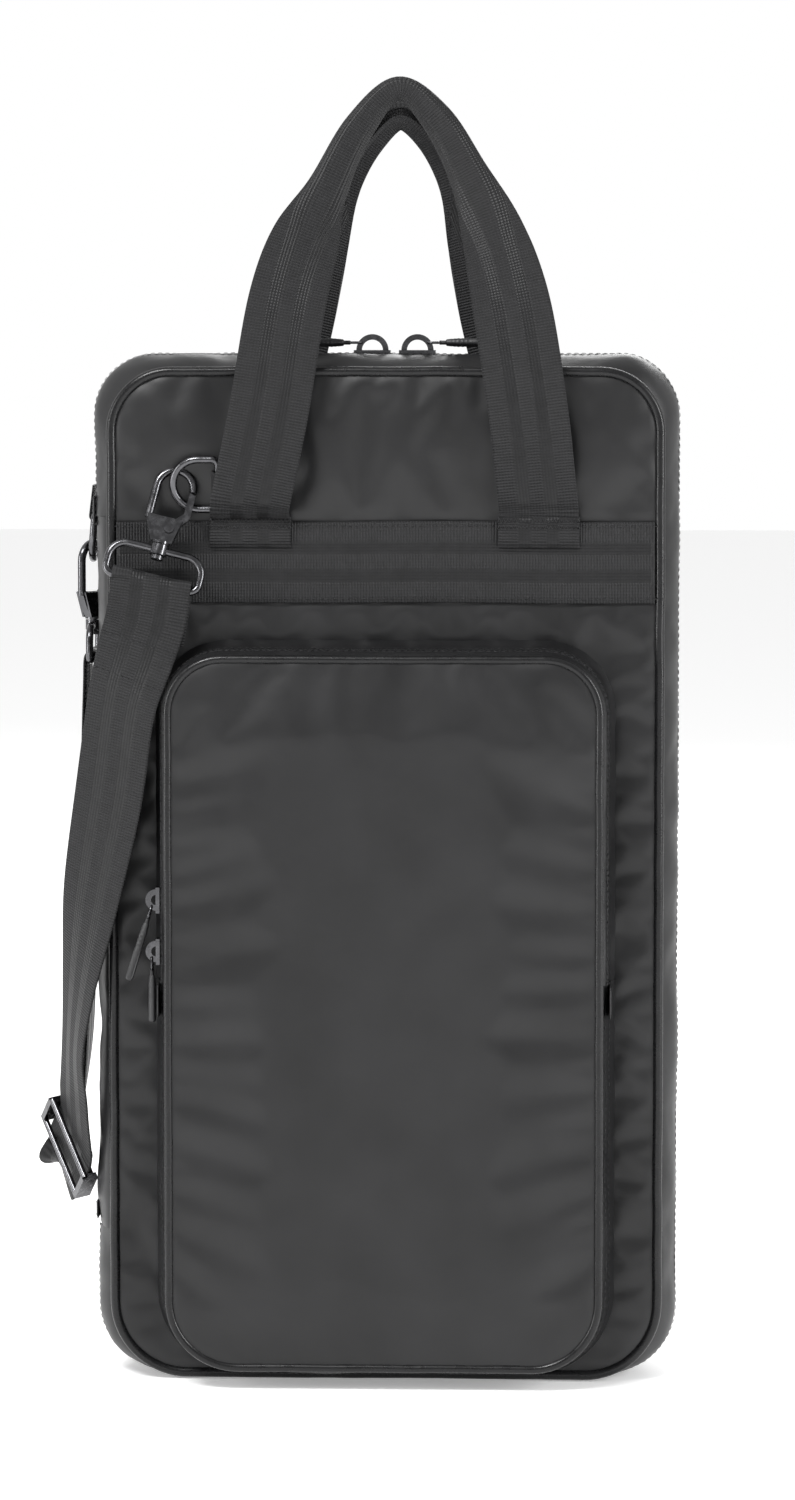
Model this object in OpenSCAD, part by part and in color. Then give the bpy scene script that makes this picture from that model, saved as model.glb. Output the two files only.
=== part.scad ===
// Upright drum stick bag in coated vinyl: a book-type body that unzips on three sides,
// a zipped front pocket, two webbing handles and a clip-on shoulder strap.
// Millimetres. +X is right seen from the front, the front faces -Y, +Z is up.
// The origin is on the base, under the middle of the body.

/* [Body] */
// Width of the body at its widest, round the gusset
bag_w = 272; // [268:1:276]
// Height of the body without its handles
bag_h = 480; // [472:1:488]
// Depth of the body between the front and back piping
bag_d = 62; // [60:1:64]
// How far the front and back panels are narrower than the gusset on each side
face_inset = 9; // [7:1:10]
// Thickness of the coated vinyl with its backing
vinyl_t = 1.6; // [1.2:0.1:2]
// Thickness of the foam behind the front and back panels
foam_t = 4; // [3:0.5:5]

/* [Zips] */
// Distance of the main zip in front of the middle of the depth
zip_forward = 7; // [7:0.5:8]
// Half of the opening between the vinyl edges along the main zip
zip_half = 6; // [5.5:0.5:6]
// Height at which the main zip ends above the base, and the spine starts
spine_z0 = 70; // [66:1:74]
// Height at which the spine ends and the main zip starts again
spine_z1 = 405; // [400:1:408]

/* [Pocket] */
// Half width of the front pocket at its piping
pocket_hw = 99.5; // [98:0.5:100]
// Height of the top of the pocket
pocket_top = 341; // [336:1:344]
// Depth of the pocket in front of the front panel
pocket_d = 28; // [27:0.5:29]
// Height of the fold line between the two ends of the pocket zip
flap_z = 190; // [186:1:194]

/* [Webbing] */
// Width of the webbing in the handles, the band and the strap
web_w = 38; // [37:0.5:38]
// Thickness of the webbing
web_t = 1.6; // [1.4:0.1:1.8]
// Height of the lower edge of the band
band_z = 365; // [363:1:366]

/* [Hardware] */
// Radius of the wire of the rings and loops
wire_r = 1.75; // [1.6:0.05:1.8]
// Radius of the piping
piping_r = 2.4; // [2.2:0.1:2.5]

/* [Hidden] */
$fn = 48;
eps = 0.1;
clear = 0.3;                          // least distance between pieces that move apart

half_w = bag_w / 2;
face_hw = half_w - face_inset;        // half width of the front and back panels at the piping
face_top = bag_h - 8;                 // top of the front and back panels at the piping
face_bottom = 3;                      // bottom of the same outline, so that piping clears the floor
half_d = bag_d / 2;
zip_y = -zip_forward;
r_top = 28;                           // upper corners of the body
r_bottom = 34;                        // lower corners of the body
band_top = band_z + web_w;
band_y = -half_d - 0.8;               // back face of the front band
handle_y = half_d + 3.2;              // distance of the handle's seam from the middle of the depth
tooth_top = 0.5;                      // depth of the teeth below the vinyl's outer face
tooth_h = 2;
tape_inset = 2.6;
tape_t = 0.8;

pocket_y = -half_d - pocket_d;        // front face of the pocket panel
pocket_bottom = 10.4;
pocket_base_hw = pocket_hw + 4.5;     // outside of the pocket's gusset where it meets the body
chain_y = -half_d - 15;               // middle of the pocket zip's chain
pocket_r_top = 26;
pocket_r_bottom = 32;

hook_tilt = 14;                       // sideways tilt of the front hook and its loop
hook_lean = 16;                       // how far their top leans back towards the panel
hook_b_turn = 55;                     // the way the rear hook's flat side faces
hook_a_pos = [-104, -half_d - 13.5, 390];
hook_b_pos = [-half_w - 4, 15, 352];
ring_a_pos = [-77, -half_d - 5.6, 420];
ring_a_lean = 15;
ring_b_pos = [-half_w - 2.2, 15, 404];
ring_b_lean = 5;
glide_pos = [-151.7, 3, 104];
glide_w = [0.4, -0.48, -0.78];       // the way the glide's long side points
glide_d = [-0.27, 0.7, -0.6];         // the way the webbing runs through the glide

black = [0.045, 0.045, 0.048];
web_black = [0.03, 0.03, 0.032];
metal = [0.12, 0.12, 0.125];
lining_grey = [0.2, 0.2, 0.21];

// ---------- outlines ----------

// Upright rounded rectangle with its own upper and lower corner radius
module outline(hw, z0, z1, rt, rb) {
    translate([-hw, z0 + rb]) square([2 * hw, z1 - z0 - rt - rb]);
    translate([-hw + rt, z1 - rt - eps]) square([2 * (hw - rt), rt + eps]);
    translate([-hw + rb, z0]) square([2 * (hw - rb), rb + eps]);
    for (s = [-1, 1]) {
        translate([s * (hw - rt), z1 - rt]) circle(rt);
        translate([s * (hw - rb), z0 + rb]) circle(rb);
    }
}

// The outline as a plate between two depths
module plate(hw, z0, z1, rt, rb, y0, y1)
    translate([0, y1, 0]) rotate([90, 0, 0])
        linear_extrude(y1 - y0) outline(hw, z0, z1, rt, rb);

// A band that follows the outline, with its wall inside it
module ring(hw, z0, z1, rt, rb, wall, y0, y1)
    translate([0, y1, 0]) rotate([90, 0, 0])
        linear_extrude(y1 - y0) difference() {
            outline(hw, z0, z1, rt, rb);
            outline(hw - wall, z0 + wall, z1 - wall, rt - wall, rb - wall);
        }

// Round wire bent along the outline, in the XZ plane
module wire_loop(hw, z0, z1, rt, rb, wire) {
    for (s = [-1, 1]) {
        translate([s * hw, 0, z0 + rb]) cylinder(h = z1 - z0 - rt - rb, r = wire);
        translate([s * (hw - rt), 0, z1 - rt]) quarter(rt, wire, s > 0 ? 0 : 90);
        translate([s * (hw - rb), 0, z0 + rb]) quarter(rb, wire, s > 0 ? 270 : 180);
    }
    translate([-(hw - rt), 0, z1]) rotate([0, 90, 0]) cylinder(h = 2 * (hw - rt), r = wire);
    translate([-(hw - rb), 0, z0]) rotate([0, 90, 0]) cylinder(h = 2 * (hw - rb), r = wire);
}

module quarter(r, wire, from)
    rotate([90, 0, 0]) rotate([0, 0, from])
        rotate_extrude(angle = 90) translate([r, 0]) circle(wire, $fn = 24);

module box(low, high) translate(low) cube(high - low);

// ---------- sweeps ----------

function cr(a, b, c, d, t) =
    0.5 * (2 * b + (c - a) * t + (2 * a - 5 * b + 4 * c - d) * t * t
    + (3 * b - a - 3 * c + d) * t * t * t);
function at(list, i) = list[max(0, min(len(list) - 1, i))];
function smooth(list, n) = [
    for (i = [0 : len(list) - 2]) for (k = [0 : n - 1])
        cr(at(list, i - 1), at(list, i), at(list, i + 1), at(list, i + 2), k / n),
    list[len(list) - 1]
];
function unit(v) = v / norm(v);

// A flat ribbon through stations [centre, width direction, half width, half thickness]
module ribbon(stations, n) {
    p = smooth([for (s = stations) s[0]], n);
    w = smooth([for (s = stations) s[1]], n);
    hw = smooth([for (s = stations) s[2]], n);
    ht = smooth([for (s = stations) s[3]], n);
    last = len(p) - 1;
    tangent = [for (i = [0 : last]) unit(at(p, i + 1) - at(p, i - 1))];
    side = [for (i = [0 : last]) unit(w[i] - (w[i] * tangent[i]) * tangent[i])];
    up = [for (i = [0 : last]) cross(tangent[i], side[i])];
    corners = [[-1, -1], [1, -1], [1, 1], [-1, 1]];
    points = [for (i = [0 : last]) for (c = corners)
        p[i] + c[0] * hw[i] * side[i] + c[1] * ht[i] * up[i]];
    walls = [for (i = [0 : last - 1]) for (k = [0 : 3])
        [4 * i + k, 4 * i + (k + 1) % 4, 4 * i + 4 + (k + 1) % 4, 4 * i + 4 + k]];
    split = [for (f = walls) each [[f[0], f[2], f[1]], [f[0], f[3], f[2]]]];
    ends = [[0, 1, 2], [0, 2, 3],
        [4 * last, 4 * last + 2, 4 * last + 1], [4 * last, 4 * last + 3, 4 * last + 2]];
    polyhedron(points, concat(split, ends), convexity = 6);
}

// ---------- body: back half ----------

module spine_cut(y0, y1) box([-half_w - 5, y0, spine_z0], [-half_w + 22, y1, spine_z1]);

// One half of the gusset, from the zip's edge to the piping; side is 1 at the back
module gusset(side) {
    zip_edge = zip_y + side * zip_half;
    face_edge = side * (half_d - piping_r - clear);
    difference() {
        gusset_form(0, zip_edge, face_edge);
        gusset_form(vinyl_t, zip_edge - side, face_edge + side);
        spine_cut(-half_d - 5, half_d + 5);
    }
}

module gusset_form(inset, y_zip, y_face)
    hull() {
        plate(half_w - inset, inset, bag_h - inset, r_top - inset, r_bottom - inset,
            min(y_zip, y_zip + eps), y_zip + eps, $fn = 32);
        plate(face_hw + 1 - inset, inset, face_top + 1 - inset, r_top - inset, r_bottom - inset,
            y_face - eps, y_face, $fn = 32);
    }

module face_plate(y0, y1, inset)
    plate(face_hw - inset, face_bottom + inset, face_top - inset,
        r_top - inset, r_bottom - inset, y0, y1);

module body_piping()
    wire_loop(face_hw, face_bottom, face_top, r_top, r_bottom, piping_r);

// A strip that follows the main zip round three sides; it stops at the spine
module zip_strip(inset, wall, y0, y1)
    difference() {
        ring(half_w - inset, inset, bag_h - inset, r_top - inset, r_bottom - inset, wall, y0, y1);
        spine_cut(-half_d - 5, half_d + 5);
    }

module back_panel() color(black) face_plate(half_d - 1, half_d + 0.6, piping_r + 0.2);
module back_gusset() color(black) gusset(1);
module back_piping() color(black) translate([0, half_d, 0]) body_piping();
module back_foam() color(lining_grey) face_plate(half_d - 1.2 - foam_t, half_d - 1.2, 6);
module back_lining()
    color(lining_grey) face_plate(half_d - 2.2 - foam_t, half_d - 1.4 - foam_t, 6);

sleeve_count = 4;
sleeve_w = 54;
sleeve_h = 330;
sleeve_z = 40;
sleeve_d = 13;
sleeve_back = half_d - 2.4 - foam_t;

// Sewn sleeves that hold the sticks upright against the back
module stick_sleeves()
    color(lining_grey)
        for (i = [0 : sleeve_count - 1])
            translate([(i - (sleeve_count - 1) / 2) * sleeve_w, sleeve_back - sleeve_d / 2, sleeve_z])
                difference() {
                    sleeve_block(sleeve_w - 0.2, sleeve_d, sleeve_h);
                    translate([0, 0, 1.2])
                        sleeve_block(sleeve_w - 2.4, sleeve_d - 2.2, sleeve_h);
                }

module sleeve_block(w, d, h)
    linear_extrude(h) {
        square([w - d, d], center = true);
        for (s = [-1, 1]) translate([s * (w - d) / 2, 0]) circle(d / 2);
    }

// Elastic binding along the mouths of the sleeves
module sleeve_binding()
    color(web_black)
        box([-2 * sleeve_w, sleeve_back - sleeve_d - 1.4, sleeve_z + sleeve_h - 22],
            [2 * sleeve_w, sleeve_back - sleeve_d - 0.2, sleeve_z + sleeve_h - 2]);

module zip_tape_back()
    color(web_black) zip_strip(tape_inset, tape_t, zip_y + clear, zip_y + zip_half + clear);
module zip_teeth_back()
    color(metal) zip_strip(tooth_top, tooth_h, zip_y + 0.25, zip_y + 3.2);
module back_band()
    color(web_black) box([-face_hw + 3, half_d + 0.8, band_z], [face_hw - 3, half_d + 0.8 + web_t, band_top]);

// ---------- body: front half ----------

module front_panel() color(black) face_plate(-half_d - 0.6, -half_d + 1, piping_r + 0.2);
module front_gusset() color(black) gusset(-1);
module front_piping() color(black) translate([0, -half_d, 0]) body_piping();
module front_foam() color(lining_grey) face_plate(-half_d + 1.2, -half_d + 1.2 + foam_t, 6);
module front_lining()
    color(lining_grey) face_plate(-half_d + 1.4 + foam_t, -half_d + 2.2 + foam_t, 6);

// The spine is the full-depth strip of the gusset that joins the two halves
module spine_panel()
    color(black)
        translate([0, 0, spine_z0 + 0.4]) linear_extrude(spine_z1 - spine_z0 - 0.8)
            polygon([
                [-face_hw - 1, -half_d + 2.7], [-half_w, zip_y - zip_half], [-half_w, zip_y + zip_half],
                [-face_hw - 1.6, half_d - 3], [-face_hw, half_d - 3],
                [-half_w + vinyl_t, zip_y + zip_half], [-half_w + vinyl_t, zip_y - zip_half],
                [-face_hw + 0.6, -half_d + 2.7]
            ]);

// Flat pocket for mallets and brushes inside the front half
mallet_hw = 84;
mallet_z = 40;
mallet_h = 210;
mallet_d = 8.5;
module mallet_pocket()
    color(lining_grey) {
        front = -half_d + 2.4 + foam_t;
        difference() {
            box([-mallet_hw, front, mallet_z], [mallet_hw, front + mallet_d, mallet_z + mallet_h]);
            box([-mallet_hw + 1, front + 1, mallet_z + 1],
                [mallet_hw - 1, front + mallet_d - 1, mallet_z + mallet_h + 1]);
        }
    }

module zip_tape_front()
    color(web_black) zip_strip(tape_inset, tape_t, zip_y - zip_half - clear, zip_y - clear);
module zip_teeth_front()
    color(metal) zip_strip(tooth_top, tooth_h, zip_y - 3.2, zip_y - 0.25);

// Vinyl patches sewn over the two ends of the main zip, at the ends of the spine
module zip_end_tabs()
    color(black)
        for (z = [spine_z0 + 3, spine_z1 - 5])
            box([-half_w - 1.6, zip_y - 7.5, z], [-half_w - 0.4, zip_y + 7.5, z + (z > 200 ? 14 : 8)]);

module front_band()
    color(web_black) box([-face_hw + 3, band_y - web_t, band_z], [face_hw - 3, band_y, band_top]);

ring_tab_r = wire_r + 1.5;

// Short webbing loop under the left leg of the front handle; it holds the front ring
module front_ring_tab()
    color(web_black)
        translate(ring_a_pos) rotate([ring_a_lean, 0, 0]) difference() {
            union() {
                translate([0, 0, -6.5]) cylinder(h = 13, r = ring_tab_r);
                box([0, 0.6, -6.5], [16, ring_tab_r, 6.5]);
            }
            translate([0, 0, -10]) cylinder(h = 20, r = wire_r + clear);
        }

// Webbing loop that comes out from under the upper zip end; it holds the spine's ring
module spine_ring_tab()
    color(web_black)
        translate(ring_b_pos) rotate([-90, 0, 0]) difference() {
            union() {
                translate([0, 0, -8.5]) cylinder(h = 17, r = ring_tab_r);
                box([0.6, -14, -8.5], [ring_tab_r, 0, 8.5]);
            }
            translate([0, 0, -10]) cylinder(h = 20, r = wire_r + clear);
        }

// ---------- handles ----------

grip_hw = 9.5;
grip_ht = 2.4;
web_hw = web_w / 2;
web_ht = web_t / 2;

// Stations of one handle: legs of flat webbing, folded lengthwise into a narrow grip.
// Each row is [x, distance from the middle of the depth, z, turn of the width, half width, half thickness]
FRONT_HANDLE = [
    [-62.5, handle_y, 404.6, 0, web_hw, web_ht],
    [-62.5, handle_y + 5, 408, 0, web_hw, web_ht],
    [-60.5, handle_y + 9.2, 418, 5, web_hw, web_ht],
    [-53, handle_y + 10.2, 454, 11, web_hw, web_ht],
    [-45, handle_y + 4, 503, 14, web_hw, web_ht],
    [-37, 28, 532, 26, 16, 1.4],
    [-27, 20, 556, 36, grip_hw, grip_ht],
    [-13, 12, 584, 58, grip_hw, grip_ht],
    [5, 9, 600, 90, grip_hw, grip_ht],
    [23, 12, 588, 122, grip_hw, grip_ht],
    [38, 19, 562, 144, grip_hw, grip_ht],
    [49, 27, 536, 156, 15, 1.4],
    [58, handle_y + 4, 503, 166, web_hw, web_ht],
    [66, handle_y + 9.5, 454, 172, web_hw, web_ht],
    [70, handle_y + 6, 418, 178, web_hw, web_ht],
    [71, handle_y + 2, 408, 180, web_hw, web_ht],
    [71, handle_y, 404.6, 180, web_hw, web_ht]
];

BACK_HANDLE = [
    [-60, handle_y, 404, 0, web_hw, web_ht],
    [-60, handle_y + 5, 418, 0, web_hw, web_ht],
    [-55, handle_y + 7, 454, 9, web_hw, web_ht],
    [-44, handle_y + 2, 500, 14, web_hw, web_ht],
    [-33, 26, 536, 28, 15, 1.4],
    [-22, 18, 560, 40, grip_hw, grip_ht],
    [-10, 12, 580, 60, grip_hw, grip_ht],
    [5, 9, 592, 90, grip_hw, grip_ht],
    [20, 12, 582, 120, grip_hw, grip_ht],
    [32, 18, 560, 140, grip_hw, grip_ht],
    [41, 26, 534, 156, 15, 1.4],
    [50, handle_y + 2, 500, 168, web_hw, web_ht],
    [61, handle_y + 7, 454, 172, web_hw, web_ht],
    [66, handle_y + 5, 418, 180, web_hw, web_ht],
    [67, handle_y, 404, 180, web_hw, web_ht]
];

// side is -1 for the front handle
module handle(rows, side)
    ribbon([for (r = rows) [[r[0], side * r[1], r[2] + band_top - 402.4],
        handle_width(r[3]), r[4], r[5]]], 5);
// Across the webbing, towards the inside of the handle: 0 points right, 90 down and 180 left
function handle_width(turn) = [cos(turn), 0, -sin(turn)];

module front_handle() color(web_black) handle(FRONT_HANDLE, -1);
module back_handle() color(web_black) handle(BACK_HANDLE, 1);

// ---------- front pocket ----------

module upper_part() intersection() {
    children();
    box([-200, pocket_y - 20, flap_z + clear], [200, 0, 600]);
}
module lower_part() intersection() {
    children();
    box([-200, pocket_y - 20, -20], [200, 0, flap_z]);
}

// A strip round the pocket, with its outside at hw
module pocket_strip(hw, wall, y0, y1)
    ring(hw, pocket_bottom - (hw - pocket_hw), pocket_top + (hw - pocket_hw),
        pocket_r_top + (hw - pocket_hw), pocket_r_bottom + (hw - pocket_hw), wall, y0, y1);

module pocket_piping() translate([0, pocket_y + 1.6, 0])
    wire_loop(pocket_hw, pocket_bottom, pocket_top, pocket_r_top, pocket_r_bottom, piping_r - 0.3);

module pocket_face()
    plate(pocket_hw - 2.4, pocket_bottom + 2.4, pocket_top - 2.4,
        pocket_r_top - 2.4, pocket_r_bottom - 2.4, pocket_y, pocket_y + 1.6);

// The fixed part: a low rim all round, and full height below the zip's ends
module pocket_gusset()
    color(black) {
        pocket_strip(pocket_base_hw, 1.6, chain_y + 5, -half_d - 0.7);
        lower_part() pocket_strip(pocket_base_hw, 1.6, pocket_y + 4, chain_y + 5);
    }

module pocket_tape_outer()
    color(web_black) upper_part() pocket_strip(pocket_base_hw - 1.8, 0.8, chain_y + 0.2, chain_y + 6);
module pocket_teeth_outer()
    color(metal) upper_part() pocket_strip(pocket_base_hw - 0.4, 1.3, chain_y + 0.2, chain_y + 2.6);
module pouch_panel() color(black) lower_part() pocket_face();
module pouch_piping() color(black) lower_part() pocket_piping();

// Vinyl patches over the two ends of the pocket zip
module pocket_end_tabs()
    color(black)
        for (s = [-1, 1])
            translate([s * (pocket_base_hw + 0.8), 0, 0])
                box([-0.6, chain_y - 7, flap_z - 16], [0.6, chain_y + 7, flap_z - 1]);

module flap_panel() color(black) upper_part() pocket_face();
module flap_gusset()
    color(black) upper_part() pocket_strip(pocket_base_hw - 1, 1.6, pocket_y + 4, chain_y - 4);
module flap_piping() color(black) upper_part() pocket_piping();
module pocket_tape_inner()
    color(web_black) upper_part() pocket_strip(pocket_base_hw - 2.8, 0.8, chain_y - 6, chain_y - 0.2);
module pocket_teeth_inner()
    color(metal) upper_part() pocket_strip(pocket_base_hw - 0.4, 1.3, chain_y - 2.6, chain_y - 0.2);

// ---------- zip sliders and pulls ----------

link_pin = 3.2;                       // half length of the pins of a pull's link
pin_r = 0.55;
pin_angle = 35;                       // where the pull's pin sits on the round of the bridge

// Middle of the pull's pin, half way through the wire of the bridge
function pull_pin(bridge_r) =
    [-(bridge_r - 1.3) * cos(pin_angle), 0, 2.1 + (bridge_r - 1.3) * sin(pin_angle)];

// A slider over a chain that runs along X, with the teeth's outer face at z = 0
module slider(width, bridge_r) {
    half_l = bridge_r + 1;
    pin = pull_pin(bridge_r);
    translate([-half_l, -width / 2, 0.4]) cube([2 * half_l, width, 1.8]);
    rotate([90, 0, 0]) translate([0, 0, -1.1]) difference() {
        linear_extrude(2.2) difference() {
            translate([0, 2.1]) circle(bridge_r);
            translate([0, 2.1]) circle(bridge_r - 2.6);
            translate([-20, -20]) square([40, 21.2]);
        }
        translate([pin[0], pin[2], -1]) cylinder(h = 5, r = pin_r + 0.05, $fn = 24);
    }
}

// The pull on that slider: a pin through the bridge, two side links and a cord sleeve
// that runs out along the given direction from the pin
module pull(bridge_r, sleeve_l, sleeve_r, dir) {
    translate(pull_pin(bridge_r)) {
        rod([0, -link_pin, 0], [0, link_pin, 0], pin_r);
        for (s = [-1, 1])
            rod([0, s * 2.2, 0], [0, s * 2.2, 0] + 5 * dir, 0.7);
        rod([0, -link_pin, 0] + 5 * dir, [0, link_pin, 0] + 5 * dir, 0.85);
        rod(5 * dir, (8 + sleeve_l) * dir, 1);
        rod(8 * dir, (8 + sleeve_l) * dir, sleeve_r);
    }
}

// A round bar between two points
module rod(a, b, r) {
    v = b - a;
    translate(a) rotate([0, acos(v[2] / norm(v)), atan2(v[1], v[0])])
        cylinder(h = norm(v), r = r, $fn = 24);
}

main_bridge = 7.5;
pocket_bridge = 5;
slider_left_x = -7;
slider_right_x = 14;
slider_upper_z = flap_z + 38;
slider_lower_z = flap_z + 14;
pull_up_dir = [-0.927, -0.25, 0.28];

module on_top(x, flip)
    translate([x, zip_y, bag_h - tooth_top]) rotate([0, 0, flip ? 180 : 0]) children();
module on_pocket_side(z)
    translate([-pocket_base_hw + 0.4, chain_y, z]) rotate([0, -90, 0]) children();

module main_slider_left() color(metal) on_top(slider_left_x, false) slider(9.4, main_bridge);
module main_slider_right() color(metal) on_top(slider_right_x, true) slider(9.4, main_bridge);
module main_pull_left() color(metal) on_top(slider_left_x, false) pull(main_bridge, 26, 2.2, [-1, 0, 0]);
module main_pull_right() color(metal) on_top(slider_right_x, true) pull(main_bridge, 26, 2.2, [-1, 0, 0]);
module pocket_slider_upper() color(metal) on_pocket_side(slider_upper_z) slider(7, pocket_bridge);
module pocket_slider_lower() color(metal) on_pocket_side(slider_lower_z) slider(7, pocket_bridge);
module pocket_pull_upper() color(metal) on_pocket_side(slider_upper_z) pull(pocket_bridge, 28, 1.8, pull_up_dir);
module pocket_pull_lower() color(metal) on_pocket_side(slider_lower_z) pull(pocket_bridge, 22, 1.8, [-1, 0, 0]);

// ---------- rings, loops and snap hooks ----------

ring_hw = 12;
ring_l = 21;
module d_ring() wire_loop(ring_hw, -ring_l, 0, 3.2, ring_hw - 0.01, wire_r);

module front_d_ring()
    color(metal) translate(ring_a_pos) rotate([ring_a_lean, 0, 0]) rotate([0, 90, 0]) d_ring();
module spine_d_ring()
    color(metal) translate(ring_b_pos) rotate([0, ring_b_lean, 0]) rotate([0, 0, 90]) d_ring();

// Snap hook in the XZ plane, with the middle of its swivel at the origin and its eye up
stem_r = 1.6;
eye_r = 8.6;
eye_z = 30;
hook_wire = 1.9;
rivet_pos = [2, 10.6];
rivet_r = 1.4;

module hook_body() difference() {
    union() {
        translate([0, 0, -4.4]) cylinder(h = 8.4, r = stem_r);
        translate([0, 0, -4.6]) cylinder(h = 1.7, r = 3);
        translate([0, 0, 2.8]) cylinder(h = 1.2, r = 4.2);
        translate([0, 1.7, 0]) rotate([90, 0, 0]) linear_extrude(3.4)
            polygon([[-10.4, 16], [-6.7, 16], [-3.4, 9], [-2.4, 6.4], [5, 6.4], [4.6, 3.6], [-4.6, 3.6], [-7.4, 9]]);
        for (s = [-1, 1])
            translate([0, s * 2.3 + 0.6, 0]) rotate([90, 0, 0]) linear_extrude(1.2)
                polygon([[-9.4, 15.6], [7.4, 15.6], [5, 3.6], [-5, 3.6]]);
        translate([-eye_r, 0, 14]) cylinder(h = eye_z - 14, r = hook_wire);
        translate([0, 0, eye_z]) {
            quarter(eye_r, hook_wire, 90);
            quarter(eye_r, hook_wire, 0);
        }
    }
    translate([rivet_pos[0], 6, rivet_pos[1]]) rotate([90, 0, 0]) cylinder(h = 12, r = rivet_r + 0.02);
}

module hook_rivet()
    translate([rivet_pos[0], 3.3, rivet_pos[1]]) rotate([90, 0, 0]) {
        cylinder(h = 6.6, r = rivet_r);
        for (z = [-0.7, 6.6]) translate([0, 0, z]) cylinder(h = 0.7, r = rivet_r + 0.9);
    }

module hook_gate() difference() {
    translate([0, 1.35, 0]) rotate([90, 0, 0]) linear_extrude(2.7) {
        translate(rivet_pos) circle(2.7);
        polygon([[1, 12.9], [4.5, 9.8], [10.3, 17.5], [10.1, eye_z - 1.4], [7.3, eye_z - 0.5], [7, 19]]);
    }
    translate([rivet_pos[0], 6, rivet_pos[1]]) rotate([90, 0, 0]) cylinder(h = 12, r = rivet_r + 0.06);
}

// Oval loop that the webbing is sewn round, with the collar that the hook swivels in
loop_hw = 21.9;
loop_drop = 15.8;
module strap_loop() difference() {
    union() {
        wire_loop(loop_hw, -loop_drop, 0, 8, 4.2, wire_r);
        translate([0, 0, -2.4]) cylinder(h = 4.8, r = 4);
    }
    translate([0, 0, -3]) cylinder(h = 6, r = stem_r + 0.06);
}

module at_hook_a() translate(hook_a_pos) rotate([0, hook_tilt, 0]) rotate([-hook_lean, 0, 0]) children();
module at_hook_b() translate(hook_b_pos) rotate([0, 0, hook_b_turn]) children();
module at_loop_b() translate(hook_b_pos) rotate([0, 0, 90]) children();

module strap_loop_a() color(metal) at_hook_a() strap_loop();
module strap_loop_b() color(metal) at_loop_b() strap_loop();
module hook_body_a() color(metal) at_hook_a() hook_body();
module hook_body_b() color(metal) at_hook_b() hook_body();
module hook_rivet_a() color(metal) at_hook_a() hook_rivet();
module hook_rivet_b() color(metal) at_hook_b() hook_rivet();
module hook_gate_a() color(metal) at_hook_a() hook_gate();
module hook_gate_b() color(metal) at_hook_b() hook_gate();

// ---------- shoulder strap ----------

// Stations [x, y, z, width direction] of the webbing, from its sewn end inside the front
// loop, down to the glide, up to the rear loop and back down to the glide's middle bar
STRAP = [
    [-110.9, -46.2, 348.6, [0.97, 0, -0.24]],
    [-108.3, -46, 363.6, [0.97, 0, -0.24]],
    [-107.2, -45.8, 373.6, [0.97, 0, -0.24]],
    [-106.9, -47, 377.6, [0.97, 0, -0.24]],
    [-106.8, -48.9, 378.6, [0.97, 0, -0.24]],
    [-106.9, -50.7, 377.6, [0.97, 0, -0.24]],
    [-107.3, -51.9, 373.6, [0.97, 0, -0.24]],
    [-109.9, -52.1, 357.6, [0.97, 0, -0.24]],
    [-114.8, -52, 341, [0.94, -0.2, -0.24]],
    [-121.3, -50.5, 318, [0.87, -0.45, -0.2]],
    [-128, -44, 275, [0.87, -0.47, -0.16]],
    [-137, -35, 230, [0.75, -0.65, -0.1]],
    [-144, -24, 190, [0.5, -0.85, -0.08]],
    [-148, -16, 155, [0.35, -0.92, -0.1]],
    [-148, -12.5, 130, [0.4, -0.75, -0.45]],
    [-147.9, -5.4, 111.6, glide_w],
    [-151.3, 3.2, 104.1, glide_w],
    [-154.4, 12.8, 95.7, glide_w],
    [-158.8, 23.8, 91.2, [0.03, -0.52, -0.86]],
    [-155.8, 28, 101.3, [0.07, -0.55, -0.83]],
    [-151, 27, 120, [0.05, -0.95, -0.3]],
    [-148, 25, 150, [0, -1, -0.1]],
    [-145.5, 20, 220, [0, -1, 0]],
    [-144.2, 16, 290, [0, -1, 0]],
    [-143.1, 15, 325, [0, -1, 0]],
    [-142.8, 15, 336, [0, -1, 0]],
    [-141.7, 15, 339.2, [0, -1, 0]],
    [-140, 15, 340.2, [0, -1, 0]],
    [-138.3, 15, 339.2, [0, -1, 0]],
    [-137.3, 15, 334, [0, -1, 0]],
    [-139.4, 16, 290, [0, -1, 0]],
    [-141.6, 19, 220, [0, -1, 0]],
    [-143.5, 20.5, 160, [0, -1, -0.05]],
    [-145.7, 27.3, 123.7, [-0.19, -0.97, -0.13]],
    [-150.3, 23.1, 104.7, [0.05, -0.82, -0.57]],
    [-151.5, 17.7, 93.2, [0.11, -0.71, -0.7]],
    [-150, 12.7, 98.7, glide_w],
    [-147.3, 5.4, 104.9, glide_w]
];

module shoulder_strap()
    color(web_black)
        ribbon([for (s = STRAP) [[s[0], s[1], s[2]], s[3], web_hw - 0.4, web_ht]], 4);

// Three-bar glide; its long side lies across the webbing
module strap_glide() {
    long = unit(glide_w);
    along = unit(glide_d - (glide_d * long) * long);
    out = cross(along, long);
    color(metal)
        multmatrix([[long[0], along[0], out[0], glide_pos[0]], [long[1], along[1], out[1], glide_pos[1]],
            [long[2], along[2], out[2], glide_pos[2]]])
            glide();
}

module glide() {
    half_l = web_hw + 2.6;
    for (s = [-1, 1]) {
        translate([-half_l, s * 9, 2.6]) rotate([0, 90, 0]) cylinder(h = 2 * half_l, r = 1.5);
        translate([s * half_l - 1.5, -9, -3.6]) cube([3, 18, 7.7]);
    }
    translate([-half_l, 0, -2.8]) rotate([0, 90, 0]) cylinder(h = 2 * half_l, r = 1.2);
}

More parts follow.
